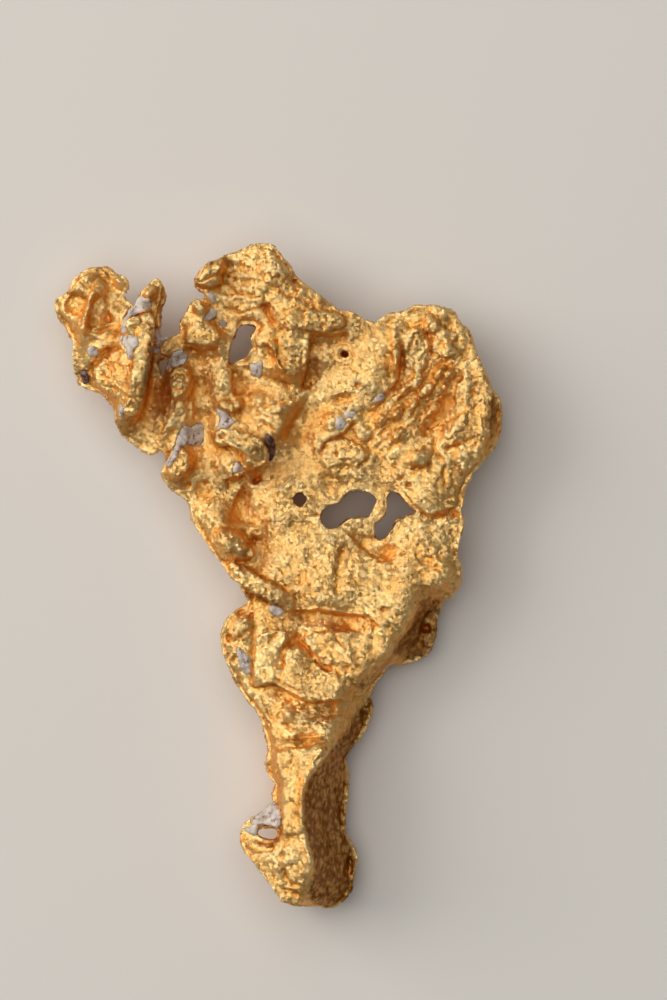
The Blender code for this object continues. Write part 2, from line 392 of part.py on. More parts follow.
PEBBLES = [  # the long pebbles of the right lobe, all of one size and turn
    (9.3, 14.3), (10.8, 14.9), (12.2, 15.6), (13.4, 16.9), (10.9, 12.9), (12.5, 17.8),
    (14.6, 18.6), (11.3, 16.9), (14.1, 15.2), (15.4, 18.4),
]
DOMES += [("pebble", x, y, 0.95, 0.48, 48, 0.6) for x, y in PEBBLES]

# Rounded solids fused into the sheet: centre x, y, z, half sizes along x, y, z, turn in degrees.
FUSED = [
    ("ridge knob", -13.1, 22.9, 8.6, 0.8, 0.6, 1.2, 20),
    ("lobe knob", -14.4, 26.8, 5.6, 0.9, 0.6, 0.8, -40),
    ("arm end", -10.1, 20.8, 6.6, 0.8, 0.6, 0.9, 40),
    ("arm middle", -9.2, 21.4, 6.4, 0.9, 0.5, 0.8, 10),
    ("plate knob", -7.2, 24.5, 7.6, 0.5, 0.9, 0.7, 35),
    ("curl upper end", -4.9, 12.9, 7.7, 0.9, 0.6, 0.9, -15),
    ("curl middle", -3.7, 12.5, 7.9, 1.3, 0.75, 1.0, -25),
    ("curl lower end", -2.3, 11.8, 7.7, 1.3, 1.0, 1.1, -45),
    ("curl shoulder", -1.9, 11.1, 6.8, 1.0, 1.0, 1.4, -60),
    ("curl boss", -2.7, 10.4, 6.4, 0.8, 0.8, 1.1, 0),
    ("upper nub", -4.8, 15.5, 5.9, 0.9, 0.45, 1.4, -25),
    ("upper nub right", -3.7, 15.6, 5.4, 0.6, 0.7, 1.6, 0),
    ("lump on the cliff", -3.4, 2.4, 6.0, 1.2, 0.8, 1.6, -20),
    ("bank of the pocket", -2.0, 4.2, 5.0, 0.7, 0.7, 0.6, 0),
    ("right rolled edge", 19.7, 14.6, 2.6, 0.7, 2.2, 1.0, 0),
    ("flap edge", 13.7, -5.6, 2.2, 0.6, 2.0, 0.9, -14),
]

# Lumps of the back, as the domes of the front. Those called feet are worn flat where they rest.
BACK_LUMPS = [
    ("left foot", -14.6, 18.2, 3.3, 2.4, 60, 3.2),
    ("lobe roll", -17.2, 23.8, 2.0, 3.4, -30, 1.3),
    ("lobe end", -15.4, 26.8, 1.8, 1.2, 0, 0.7),
    ("spur back", -12.2, 21.6, 1.2, 3.6, 5, 0.9),
    ("top foot", -0.8, 25.4, 4.4, 2.9, 25, 5.6),
    ("top edge lump", -5.2, 27.6, 2.2, 1.3, 30, 1.3),
    ("right foot", 14.4, 16.8, 3.2, 4.4, -35, 4.4),
    ("right roll", 10.6, 20.4, 2.0, 3.6, 12, 1.6),
    ("right edge lump", 17.4, 12.0, 1.4, 2.6, -20, 1.2),
    ("middle roll", 3.4, 2.6, 5.2, 2.0, 24, 2.0),
    ("plate lump", 7.6, -1.2, 2.4, 1.6, -15, 1.2),
    ("side roll", 13.8, 2.4, 1.8, 4.4, 8, 2.0),
    ("hole lump", 12.0, 9.6, 2.6, 1.4, 40, 1.4),
    ("channel back", -6.9, 12.4, 1.9, 4.8, -6, 1.3),
    ("left middle lump", -5.2, 4.4, 1.6, 2.6, 30, 1.2),
    ("window lump", 1.6, 20.0, 2.2, 1.6, -40, 1.5),
    ("body roll", 2.4, -7.4, 5.2, 2.4, -18, 1.7),
    ("body edge lump", -2.8, -5.0, 1.4, 2.2, 10, 1.0),
    ("leg foot", 4.2, -18.6, 1.7, 4.4, 6, 1.5),
    ("heel foot", 4.0, -26.2, 2.1, 3.0, -10, 1.5),
    ("toe lump", -0.4, -26.4, 1.4, 2.0, 35, 0.8),
    ("right hollow", 9.4, 15.6, 2.8, 1.7, 30, -1.0),
    ("upper hollow", 5.6, 22.6, 2.6, 1.3, -10, -0.8),
    ("side hollow", 10.2, 0.6, 1.5, 2.0, 20, -0.9),
    ("body hollow", 6.4, -4.2, 2.0, 1.2, 10, -0.9),
    ("leg hollow", 1.4, -12.8, 1.2, 2.2, 10, -0.8),
    ("lobe hollow", -14.6, 22.8, 1.1, 1.6, 0, -0.8),
]

# Folds of the back, as the crests of the front.
BACK_FOLDS = [
    ("spur fold", [(-13.6, 15.2), (-12.0, 18.4), (-11.6, 21.0), (-11.6, 24.6)], 0.8, 1.2, 0.9),
    ("long fold", [(1.8, 22.6), (2.6, 18.6), (3.2, 15.4), (2.0, 11.2), (0.4, 8.6)], 0.9, 1.5, 1.1),
    ("right fold", [(8.2, 22.4), (8.8, 18.6), (11.4, 14.2), (15.6, 9.8)], 0.9, 1.3, 1.6),
    ("edge fold", [(18.8, 17.6), (18.6, 13.6), (16.8, 9.6), (15.6, 5.2)], 0.8, 1.2, 0.9),
    ("left fold", [(-9.4, 15.8), (-8.8, 11.6), (-6.8, 6.8), (-3.2, 1.2)], 0.8, 1.2, 1.0),
    ("plate fold", [(-1.6, 0.4), (3.6, -1.2), (9.0, -2.8), (13.0, -1.0)], 0.9, 1.4, 1.0),
    ("leg fold", [(6.4, -9.4), (4.4, -12.6), (1.4, -15.6), (0.8, -20.4), (-0.8, -24.6)],
     0.9, 1.2, 1.0),
    ("body fold", [(-3.4, -8.2), (-0.6, -5.6), (0.8, -3.0)], 0.8, 1.0, 1.0),
]

# Bits of quartz: outline, depth below the gold around it, rise above it, colour.
QUARTZ = {
    "quartz_spur_web": (
        [(-12.5, 25.3), (-11.7, 25.2), (-11.5, 24.5), (-12.3, 24.2), (-13.1, 23.9),
         (-13.5, 23.0), (-13.8, 22.2), (-14.2, 22.2), (-13.9, 23.2), (-13.5, 24.1),
         (-12.9, 24.8)], 0.9, 0.1, QUARTZ_COLOUR),
    "quartz_ridge_patch": (
        [(-14.3, 21.6), (-13.4, 21.8), (-12.7, 21.6), (-12.6, 21.0), (-13.1, 20.6),
         (-13.2, 19.8), (-13.5, 19.8), (-13.6, 20.6)], 0.7, 0.15, QUARTZ_COLOUR),
    "quartz_arm_web": (
        [(-11.2, 22.6), (-10.9, 22.5), (-10.8, 21.7), (-10.1, 21.7), (-10.6, 21.2),
         (-10.9, 20.4), (-11.4, 20.4), (-11.3, 21.6)], 0.9, 0.1, QUARTZ_COLOUR),
    "quartz_arm_ball": (
        [(-9.9, 19.6), (-9.4, 20.4), (-8.8, 20.6), (-8.4, 20.1), (-8.6, 19.4), (-9.4, 19.2),
         (-10.1, 18.9)], 0.8, 0.6, QUARTZ_COLOUR),
    "quartz_left_chip": (
        [(-17.3, 20.7), (-16.8, 20.9), (-16.4, 20.4), (-16.7, 20.0), (-17.1, 20.4)],
        0.5, 0.2, QUARTZ_COLOUR),
    "quartz_left_flange": (
        [(-18.0, 18.6), (-17.6, 18.6), (-17.4, 17.8), (-17.7, 17.7)], 0.5, 0.15, STAINED_COLOUR),
    "quartz_ridge_foot": (
        [(-14.2, 15.5), (-13.9, 15.4), (-14.1, 14.8), (-14.4, 14.6)], 0.5, 0.15, QUARTZ_COLOUR),
    "quartz_channel_bed": (
        [(-10.2, 10.2), (-9.8, 10.9), (-9.3, 11.9), (-9.0, 12.9), (-8.6, 13.6), (-7.9, 13.5),
         (-7.4, 14.0), (-6.9, 13.8), (-6.9, 12.5), (-7.3, 12.0), (-8.3, 12.2), (-8.9, 11.9),
         (-9.3, 10.9), (-9.8, 10.1)], 0.7, 0.3, QUARTZ_COLOUR),
    "quartz_triangle": (
        [(-5.5, 15.3), (-4.8, 14.9), (-4.1, 14.1), (-4.9, 13.4), (-5.4, 13.0), (-5.5, 13.5),
         (-5.1, 14.3)], 0.6, 0.2, QUARTZ_COLOUR),
    "quartz_curl_lip": (
        [(-3.8, 10.4), (-3.5, 10.2), (-3.0, 9.6), (-4.0, 9.6)], 0.5, 0.15, QUARTZ_COLOUR),
    "quartz_curl_brown": (
        [(-1.0, 12.9), (-0.5, 12.4), (-0.4, 11.5), (-0.8, 10.6), (-0.95, 11.4), (-1.1, 12.2)],
        0.6, 0.2, STAINED_COLOUR),
    "quartz_window_chip": (
        [(-2.5, 19.3), (-1.6, 19.4), (-1.5, 18.9), (-1.7, 18.3), (-2.2, 18.3)],
        0.6, 0.15, QUARTZ_COLOUR),
    "quartz_slit": (
        [(-6.4, 25.8), (-6.0, 25.6), (-5.8, 25.1), (-6.1, 25.2)], 0.5, 0.1, QUARTZ_COLOUR),
    "quartz_plate_chip": (
        [(-6.5, 23.8), (-6.1, 24.2), (-5.7, 24.1), (-5.8, 23.7), (-6.3, 23.4), (-6.9, 23.3)],
        0.5, 0.15, QUARTZ_COLOUR),
    "quartz_basin_chip": (
        [(5.3, 14.4), (5.8, 14.4), (6.0, 14.0), (5.7, 13.4), (5.3, 13.7)], 0.5, 0.2, QUARTZ_COLOUR),
    "quartz_leaf_edge": (
        [(6.0, 14.9), (6.9, 15.0), (6.7, 14.6), (6.2, 14.5)], 0.5, 0.15, QUARTZ_COLOUR),
    "quartz_rim_chip": (
        [(8.7, 16.0), (9.2, 16.4), (9.6, 16.7), (9.4, 16.2)], 0.5, 0.15, QUARTZ_COLOUR),
    "quartz_waist": (
        [(-0.8, -2.8), (-0.4, -2.6), (0.1, -2.7), (0.5, -3.1), (-0.1, -3.5), (-0.6, -3.2)],
        0.6, 0.4, QUARTZ_COLOUR),
    "quartz_body_edge": (
        [(-3.7, -6.4), (-3.3, -6.8), (-2.7, -7.4), (-2.7, -8.7), (-3.1, -8.6), (-3.6, -7.6)],
        0.6, 0.25, QUARTZ_COLOUR),
    "quartz_foot": (
        [(-1.3, -21.4), (-0.9, -20.9), (-0.3, -20.6), (0.1, -21.2), (0.3, -22.3), (-0.1, -22.6),
         (-0.9, -22.4), (-2.2, -22.4), (-2.4, -22.1)], 0.9, 0.4, QUARTZ_COLOUR),
    "quartz_foot_corner": (
        [(-3.0, -22.9), (-2.4, -22.7), (-2.0, -22.6), (-2.1, -23.3), (-2.5, -23.2)],
        0.5, 0.2, QUARTZ_COLOUR),
}


def clear_scene():
    for thing in list(bpy.data.objects):
        bpy.data.objects.remove(thing)


def material(name, colour, metallic, roughness):
    made = bpy.data.materials.new(name)
    made.use_nodes = True
    shader = made.node_tree.nodes["Principled BSDF"]
    shader.inputs["Base Color"].default_value = (*colour, 1)
    shader.inputs["Metallic"].default_value = metallic
    shader.inputs["Roughness"].default_value = roughness
    return made


def rounded_loop(corners, step):
    """A closed Catmull-Rom curve through the corners, with a point about every step."""
    corners = np.array(corners, float)
    before, after = np.roll(corners, 1, axis=0), np.roll(corners, -1, axis=0)
    later = np.roll(corners, -2, axis=0)
    points = []
    for p0, p1, p2, p3 in zip(before, corners, after, later):
        count = max(1, round(np.linalg.norm(p2 - p1) / step))
        for t in np.arange(count) / count:
            bend = 2 * p1 + (p2 - p0) * t + (2 * p0 - 5 * p1 + 4 * p2 - p3) * t**2
            points.append((bend + (3 * p1 - p0 - 3 * p2 + p3) * t**3) / 2)
    return np.array(points)


def circle(place, radius, count):
    turns = np.arange(count) * math.tau / count
    return np.array(place) + radius * np.column_stack([np.cos(turns), np.sin(turns)])


def inside(points, loops):
    """Whether each point is in the outline and out of the holes, by the even-odd rule."""
    x, y = points.T
    within = np.zeros(len(points), bool)
    for loop in loops:
        for (x0, y0), (x1, y1) in zip(loop, np.roll(loop, -1, axis=0)):
            if y0 != y1:
                spans = (y0 > y) != (y1 > y)
                within ^= spans & (x < x0 + (y - y0) * (x1 - x0) / (y1 - y0))
    return within


def beside(points, path):
    """Distance from an open path, the side (+1 left of its run) and the share of it passed."""
    path = np.array(path, float)
    lengths = np.linalg.norm(np.diff(path, axis=0), axis=1)
    starts = np.concatenate([[0], np.cumsum(lengths)])
    far = np.full(len(points), np.inf)
    side, share = np.zeros(len(points)), np.zeros(len(points))
    for a, b, length, start in zip(path, path[1:], lengths, starts):
        run = (b - a) / length
        offset = points - a
        passed = np.clip(offset @ run, 0, length)
        gap = np.linalg.norm(offset - passed[:, None] * run, axis=1)
        nearer = gap < far
        far[nearer] = gap[nearer]
        turn = run[0] * offset[:, 1] - run[1] * offset[:, 0]
        side[nearer] = np.sign(turn[nearer])
        share[nearer] = (start + passed[nearer]) / starts[-1]
    return far, side, share


def edge_distances(points, loops):
    """Distances to each closed loop, a row for each."""
    closed = [np.vstack([loop, loop[:1]]) for loop in loops]
    return np.array([beside(points, loop)[0] for loop in closed])


def smooth_through(areas):
    """The thin-plate surface through all spots of the areas, as a function of points."""
    spots = np.array([spot for area in areas.values() for spot in area])

    def kernel(a, b):
        square = ((a[:, None] - b[None]) ** 2).sum(axis=2)
        return square * np.log(square + 1e-12)

    count = len(spots)
    plane = np.column_stack([np.ones(count), spots[:, :2]])
    system = np.zeros((count + 3, count + 3))
    system[:count, :count] = kernel(spots[:, :2], spots[:, :2])
    system[:count, count:] = plane
    system[count:, :count] = plane.T
    weights = np.linalg.solve(system, np.concatenate([spots[:, 2], np.zeros(3)]))

    def height(points):
        return kernel(points, spots[:, :2]) @ weights[:count] + weights[count] + (
            points @ weights[count + 1:]
        )

    return height


def ends_fade(share):
    """1 along a run, and 0 at its very ends."""
    return np.clip(np.minimum(share, 1 - share) / ENDS, 0, 1)


def ledge(points, path, drop, reach):
    far, side, share = beside(points, path)
    fall = np.clip(far / EDGE, 0, 1) * np.clip(1 - far / reach, 0, 1) * ends_fade(share)
    return np.where(side < 0, -drop * fall, 0)


def crest(points, path, rise, left, right):
    far, side, share = beside(points, path)
    slope = np.clip(1 - far / np.where(side > 0, left, right), 0, 1)
    return rise * slope * np.maximum(ends_fade(share), CREST_END)


def dome(points, x, y, half_length, half_width, turn, rise):
    c, s = math.cos(math.radians(turn)), math.sin(math.radians(turn))
    across = points - (x, y)
    u = (across[:, 0] * c + across[:, 1] * s) / half_length
    v = (across[:, 1] * c - across[:, 0] * s) / half_width
    return rise * np.clip(1 - u * u - v * v, 0, 1)


def roughness(points, height, seed):
    """Rough lumps, the same on every run."""
    places = [Vector((x / ROUGH_SIZE, y / ROUGH_SIZE, seed)) for x, y in points]
    return height * np.array([noise.fractal(place, 0.8, 2.1, 3) for place in places])


@functools.cache
def front_surface():
    return smooth_through(FRONT)


@functools.cache
def back_surface():
    return smooth_through(BACK)


def front(points):
    height = front_surface()(points)
    for _, path, drop, reach in LEDGES:
        height += ledge(points, path, drop, reach)
    for _, path, rise, left, right in CRESTS:
        height += crest(points, path, rise, left, right)
    for _, path, depth, left, right in GROOVES:
        height -= crest(points, path, depth, left, right)
    for _, *shape in DOMES:
        height += dome(points, *shape)
    return height + roughness(points, FRONT_ROUGHNESS, FRONT_SEED)


def back(points):
    height = back_surface()(points)
    for _, path, rise, left, right in BACK_FOLDS:
        height -= crest(points, path, rise, left, right)
    for _, *place, rise in BACK_LUMPS:
        height -= rise * dome(points, *place, 1.0) ** LUMP_POINT
    return height + roughness(points, BACK_ROUGHNESS, BACK_SEED)


@functools.cache
def sheet_loops():
    """The outline and the holes, as loops of points."""
    holes = (UPPER_WINDOW, SMALL_WINDOW, RIDGE_HOLE, LONG_HOLE, BENT_HOLE, FOOT_HOLE)
    loops = [rounded_loop(corners, GRID) for corners in (OUTLINE, *holes)]
    loops.append(circle(ROUND_HOLE_PLACE, ROUND_HOLE_RADIUS, ROUND_STEPS))
    loops.append(circle(PINHOLE_PLACE, PINHOLE_RADIUS, PINHOLE_STEPS))
    return loops


def sheet_heights(points):
    """Heights of the front and of the back, rounded towards every edge."""
    top, bottom = front(points), back(points)
    bottom = np.minimum(bottom, top - THINNEST)
    middle = (top + bottom) / 2
    outline, *holes = edge_distances(points, sheet_loops())
    near = np.clip(np.minimum(outline / RIM, np.min(holes, axis=0) / HOLE_RIM), 0, 1)
    swell = np.sqrt(1 - (1 - near) ** 2)
    top = middle + RIM_WALL + (top - middle - RIM_WALL) * swell
    bottom = middle - RIM_WALL - (middle - RIM_WALL - bottom) * swell
    return top, bottom


def sheet_points():
    """A triangular grid of points that keeps clear of the edges."""
    loops = sheet_loops()
    low, high = loops[0].min(axis=0), loops[0].max(axis=0)
    rows = np.arange(low[1], high[1], GRID * math.sqrt(3) / 2)
    points = [
        (x + (number % 2) * GRID / 2, y)
        for number, y in enumerate(rows)
        for x in np.arange(low[0], high[0], GRID)
    ]
    points = np.array(points)
    points = points[inside(points, loops)]
    return points[edge_distances(points, loops).min(axis=0) > GRID * 0.6]


def make_sheet(bm):
    """The front and the back of the sheet, joined round the outline and round every hole."""
    loops = sheet_loops()
    flat = np.vstack(loops + [sheet_points()])
    borders, start = [], 0
    for loop in loops:
        size = len(loop)
        borders += [(start + k, start + (k + 1) % size) for k in range(size)]
        start += size
    made = delaunay_2d_cdt([Vector(p) for p in flat], borders, [], 0, 1e-5)
    flat = np.array([tuple(v) for v in made[0]])
    faces = np.array([face for face in made[2]])
    faces = faces[inside(flat[faces].mean(axis=1), loops)]

    top, bottom = sheet_heights(flat)
    upper = [bm.verts.new((x * MM, y * MM, z * MM)) for (x, y), z in zip(flat, top)]
    lower = [bm.verts.new((x * MM, y * MM, z * MM)) for (x, y), z in zip(flat, bottom)]
    runs = {(a, b) for face in faces for a, b in zip(face, np.roll(face, -1))}
    for a, b, c in faces:
        bm.faces.new((upper[a], upper[b], upper[c]))
        bm.faces.new((lower[c], lower[b], lower[a]))
    for a, b in runs:
        if (b, a) not in runs:
            bm.faces.new((upper[b], upper[a], lower[a], lower[b]))


def make_fused_lumps(bm):
    for _, x, y, z, along, across, tall, turn in FUSED:
        place = Matrix.LocRotScale(
            Vector((x, y, z)) * MM,
            Matrix.Rotation(math.radians(turn), 3, "Z"),
            Vector((along, across, tall)) * MM,
        )
        bmesh.ops.create_icosphere(bm, subdivisions=3, radius=1, matrix=place)


def object_from(bm, name, finish=None):
    mesh = bpy.data.meshes.new(name)
    loose = [vertex for vertex in bm.verts if not vertex.link_faces]
    bmesh.ops.delete(bm, geom=loose, context="VERTS")
    bm.to_mesh(mesh)
    bm.free()
    made = bpy.data.objects.new(name, mesh)
    bpy.context.collection.objects.link(made)
    if finish:
        mesh.materials.append(finish)
    return made


def shrunk(loop, by):
    """A loop moved inwards by so much, or outwards where by is negative."""
    loop = np.array(loop, float)
    ahead = np.roll(loop, -1, axis=0) - loop
    ahead /= np.linalg.norm(ahead, axis=1)[:, None]
    behind = np.roll(ahead, 1, axis=0)
    inward = np.column_stack([ahead[:, 1] + behind[:, 1], -ahead[:, 0] - behind[:, 0]])
    inward /= np.maximum(np.linalg.norm(inward, axis=1), 0.6)[:, None]
    return loop + inward * by


def make_bit(name, outline, depth, rise, finish=None, pocket=False):
    """A bit of quartz, with its top and its underside drawn in, or the pocket that it sits in."""
    outline = np.array(outline, float)
    ahead = np.roll(outline, -1, axis=0)
    if (outline[:, 0] * ahead[:, 1] - ahead[:, 0] * outline[:, 1]).sum() > 0:
        outline = outline[::-1]
    ground, _ = sheet_heights(outline)
    if pocket:
        rim = shrunk(outline, -QUARTZ_GAP)
        underside, top = ground - depth - POCKET_ROOM, (rim, ground + rise + POCKET_OPEN)
    else:
        rim = outline
        underside, top = ground - depth, (shrunk(rim, BIT_BEVEL), ground + rise)
    rings = [(shrunk(rim, BIT_FOOT), underside), (rim, ground), top]
    bm = bmesh.new()
    levels = [
        [bm.verts.new((x * MM, y * MM, z * MM)) for (x, y), z in zip(ring, heights)]
        for ring, heights in rings
    ]
    bm.faces.new(levels[0])
    bm.faces.new(levels[-1][::-1])
    for low, high in zip(levels, levels[1:]):
        for k in range(len(low)):
            after = (k + 1) % len(low)
            bm.faces.new((low[after], low[k], high[k], high[after]))
    bmesh.ops.recalc_face_normals(bm, faces=bm.faces)
    bmesh.ops.triangulate(bm, faces=bm.faces)
    return object_from(bm, name, finish)


def hide_tool(tool):
    tool.hide_render = True
    tool.display_type = "WIRE"


def make_floor_cutter():
    """All that would reach below the surface that the nugget lies on."""
    bm = bmesh.new()
    bmesh.ops.create_cube(bm, size=1)
    bmesh.ops.scale(bm, vec=Vector(FLOOR_CUTTER) * MM, verts=bm.verts)
    bmesh.ops.translate(bm, vec=Vector((0, 0, -FLOOR_CUTTER[2] / 2)) * MM, verts=bm.verts)
    tool = object_from(bm, "floor_cutter")
    hide_tool(tool)
    return tool


def make_gold(finish, pockets):
    bm = bmesh.new()
    make_sheet(bm)
    make_fused_lumps(bm)
    gold = object_from(bm, "gold", finish)

    fuse = gold.modifiers.new("fuse", "REMESH")
    fuse.mode = "VOXEL"
    fuse.voxel_size = VOXEL * MM
    soften = gold.modifiers.new("soften", "SMOOTH")
    soften.factor = 0.5
    soften.iterations = 2
    facets = gold.modifiers.new("facets", "DECIMATE")
    facets.ratio = KEEP_FACES
    lies_on = gold.modifiers.new("lies on", "BOOLEAN")
    lies_on.object = make_floor_cutter()
    room = gold.modifiers.new("room for quartz", "BOOLEAN")
    room.operand_type = "COLLECTION"
    room.collection = pockets
    return gold


def main():
    clear_scene()
    native_gold = material("native gold", GOLD_COLOUR, 1.0, 0.36)
    pockets = bpy.data.collections.new("pockets")
    bpy.context.scene.collection.children.link(pockets)
    for name, (outline, depth, rise, colour) in QUARTZ.items():
        finish = material(f"{name} finish", colour, 0.0, 0.5)
        make_bit(name, outline, depth, rise, finish)
        pocket = make_bit(f"{name}_pocket", outline, depth, rise, pocket=True)
        hide_tool(pocket)
        bpy.context.collection.objects.unlink(pocket)
        pockets.objects.link(pocket)
    make_gold(native_gold, pockets)


main()
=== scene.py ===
"""A native gold nugget with bits of milky quartz in its folds, lying on its back, seen from above.

Places and sizes in the lists are millimetres in the frame's own axes: +X to the nugget's right, +Y
to its upper end, +Z out of the side that shows. Turns are degrees from +X towards +Y.
"""

import json
import math

import bpy
import numpy as np
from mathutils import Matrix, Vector, noise

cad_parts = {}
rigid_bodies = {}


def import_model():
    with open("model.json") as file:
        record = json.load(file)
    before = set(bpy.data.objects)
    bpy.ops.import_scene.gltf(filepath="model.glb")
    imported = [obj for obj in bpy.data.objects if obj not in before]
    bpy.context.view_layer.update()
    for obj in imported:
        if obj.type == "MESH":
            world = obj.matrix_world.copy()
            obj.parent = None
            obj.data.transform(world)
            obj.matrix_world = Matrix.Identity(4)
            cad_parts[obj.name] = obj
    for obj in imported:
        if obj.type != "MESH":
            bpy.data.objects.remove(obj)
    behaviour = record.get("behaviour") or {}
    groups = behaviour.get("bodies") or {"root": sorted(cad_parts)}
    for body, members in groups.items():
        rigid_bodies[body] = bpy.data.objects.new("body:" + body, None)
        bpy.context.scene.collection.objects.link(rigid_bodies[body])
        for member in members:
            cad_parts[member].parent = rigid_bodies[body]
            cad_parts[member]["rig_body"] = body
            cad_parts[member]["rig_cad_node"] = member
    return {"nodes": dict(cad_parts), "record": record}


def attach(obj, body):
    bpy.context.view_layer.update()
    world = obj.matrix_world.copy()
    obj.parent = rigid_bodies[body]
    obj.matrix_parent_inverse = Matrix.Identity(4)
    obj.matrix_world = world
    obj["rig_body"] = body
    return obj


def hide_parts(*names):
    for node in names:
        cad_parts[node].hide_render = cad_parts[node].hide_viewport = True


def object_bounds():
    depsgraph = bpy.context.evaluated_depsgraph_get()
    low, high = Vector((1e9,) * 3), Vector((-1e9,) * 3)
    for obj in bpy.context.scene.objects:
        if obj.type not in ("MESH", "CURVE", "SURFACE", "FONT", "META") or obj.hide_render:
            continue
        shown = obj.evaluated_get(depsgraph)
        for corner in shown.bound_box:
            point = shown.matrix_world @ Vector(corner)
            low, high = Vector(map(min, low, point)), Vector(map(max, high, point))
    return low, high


MM = 0.001
SAME_PLACE = 0.001  # corners of the CAD's loose triangles that are nearer than this are one

# The gold's skin.
SKIN_CELL = 0.14  # the cells in which the skin is made, before its detail is worked in
SKIN_TRIANGLES = 190000  # what the finished skin keeps
SKIN_SMOOTHING = 4  # passes that take out the solid's own facets
RIM_LOSS = 0.05  # what those passes take off every rim, which is put back
BLUR_PASSES = 24  # passes that blur a stroke as the solid's facets do
RIM_STEPS = 9, 4  # how many cells in from a rim the solid is rounded off: wide ground, narrow arms
RIM_PASSES = 5  # passes for each of those steps that carry the ground's height out to the rim
RIM_RAISE = 1.0  # the most that a rim is raised to its own ground's height
PINHOLE = 6.05, 20.2  # the small pit in the right basin
FUNNEL = 0.9  # how far out the solid's funnel round it is filled up again
FUNNEL_GROUND = 1.6 * FUNNEL  # how far out the ground is read that it is filled up to
HOLLOW_PASSES = 14  # passes that give the surroundings of a place, for how hollow it is
HOLLOW_DEPTH = 0.22  # how far below them a full crevice lies

# The strokes.
END_SHARE = 0.15  # the share of a run over which its stroke fades at each end
CREST_END, RIB_END = 0.3, 0.2  # what is left of a crest and of a rib at the very end
LEDGE_CELLS = 1.5  # how many cells of the skin a ledge drops over
PLATE_FLATNESS = 0.7  # how much of the unevenness of its ground a plate takes out
PLATE_TILT = 0.6  # how much of its ground's tilt a plate keeps
ROLL_SIDE, ROLL_END = 0.5, 0.6  # how far a roll falls to its sides and to its ends, in half widths
PIT_ROUNDNESS = 0.7  # under 1, so that a pit has a wider floor than a bump has a top

# How far up a place faces, as the Z of its normal, where each kind of work starts and where it is full.
RIM_FACING = 0.04, 0.15
PLATE_FACING = 0.1
STROKE_FACING = 0.0, 0.35
ROLL_FACING = 0.0, 0.12
SHOWN_FACING = -0.2, 0.3
STEEP_FACING = 0.4, 0.8  # up or down: steep below it and flat above

# The small forms of the skin: the size of each pattern, and its height where its ground is strong.
GROUND_EDGE, STRIA_EDGE = 0.6, 0.5  # how much of a patch of ground is its fading edge
OCTAVE_FALL, OCTAVE_STEP = 0.9, 2.0  # how much weaker and finer each octave of a noise is
WANDER_SIZE, WANDER = 1.4, 0.3  # bends the patterns, so that none has a straight run
SWELL_SIZE, SWELL = 2.6, 0.07
UNEVEN_SIZE, UNEVEN = 1.0, 0.04
BROAD_FACET_SIZE = 1.3
BROAD_PLAIN, BROAD_PEBBLED, BROAD_CRINKLED = 0.05, 0.14, 0.06  # the last two on top of the first
FINE_FACET_SIZE = 0.55
FINE_PLAIN, FINE_ROUGH = 0.02, 0.2  # the last on rubble and speckled ground, on top of the first
PEBBLE_SIZE, PEBBLE_HEIGHT = 1.0, 0.1
LONG_SIZE, LONG_HEIGHT = (1.7, 0.72), 0.24  # the size is a length and a width
GRIT_SIZE, GRIT_RUBBLE, GRIT_SPECKLED = 0.52, 0.08, 0.06  # bits on rubble and speckled ground
CREASE_SIZE, CREASE_DEPTH = 1.3, 0.07
CREASE_SHARPNESS, CREASE_TOP = 4, -0.4  # how narrow they are, and how high the ground between
CRAZE_SIZE, CRAZE_WIDTH, CRAZE_DEPTH = 0.36, 0.2, 0.025
CRAZE_PLAIN, CRAZE_MORE = 0.3, 0.5  # the share of it on plain ground, and more where that is rough
STRIA_LENGTH, STRIA_WIDTH, STRIA_HEIGHT = 2.4, 0.42, 0.09
SMOOTHED = 0.93  # how much of all but the striae smooth ground takes out
BACK_PEBBLED, STEEP_SPECKLED = 0.6, 0.8  # how pebbled the back is, and how speckled steep sides
PAINTED_SHADE_EDGE = 0.3  # over which the painted shade of the dark sides fades in
PAINTED_SHADE_ON_GRIT, PAINTED_SHADE_BETWEEN = 0.5, 0.9  # how much painted shade lies on each bit, and how much more between them, so the bits show as painted glints
GRIT_BOUNDS = 0.3, 0.6  # where a bit starts to end and where it has ended, from its middle, for the painted glints

# The quartz.
QUARTZ_CELL = 0.1
QUARTZ_GROWTH = 0.16  # how far each bit reaches sideways over the clearance of its pocket
QUARTZ_SINK = 0.02  # and how far it sits down into it
QUARTZ_LIFTS = {  # bits whose ground the skin raises
    "quartz_left_chip": 0.3, "quartz_left_flange": 0.4, "quartz_body_edge": 0.2,
    "quartz_ridge_foot": 0.15, "quartz_slit": 0.1, "quartz_foot_corner": 0.3, "quartz_foot": 0.1,
}
LUMP_SIZE, LUMP_HEIGHT, LUMP_MIDDLE = 0.7, 0.16, 0.45  # the broken lumps of its faces
UNEVEN_QUARTZ_SIZE, UNEVEN_QUARTZ = 0.8, 0.1
QUARTZ_EDGE_ANGLE = 35  # edges sharper than this stay sharp

# The studio, in metres.
FLOOR_SIZE = 3.0
CAMERA_PLACE = 0.005, 0.007, 0.511
LENS, SENSOR = 200, 36  # millimetres: 11 px of a 667 by 1000 picture then show one of the nugget

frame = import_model()
CAD_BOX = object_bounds()

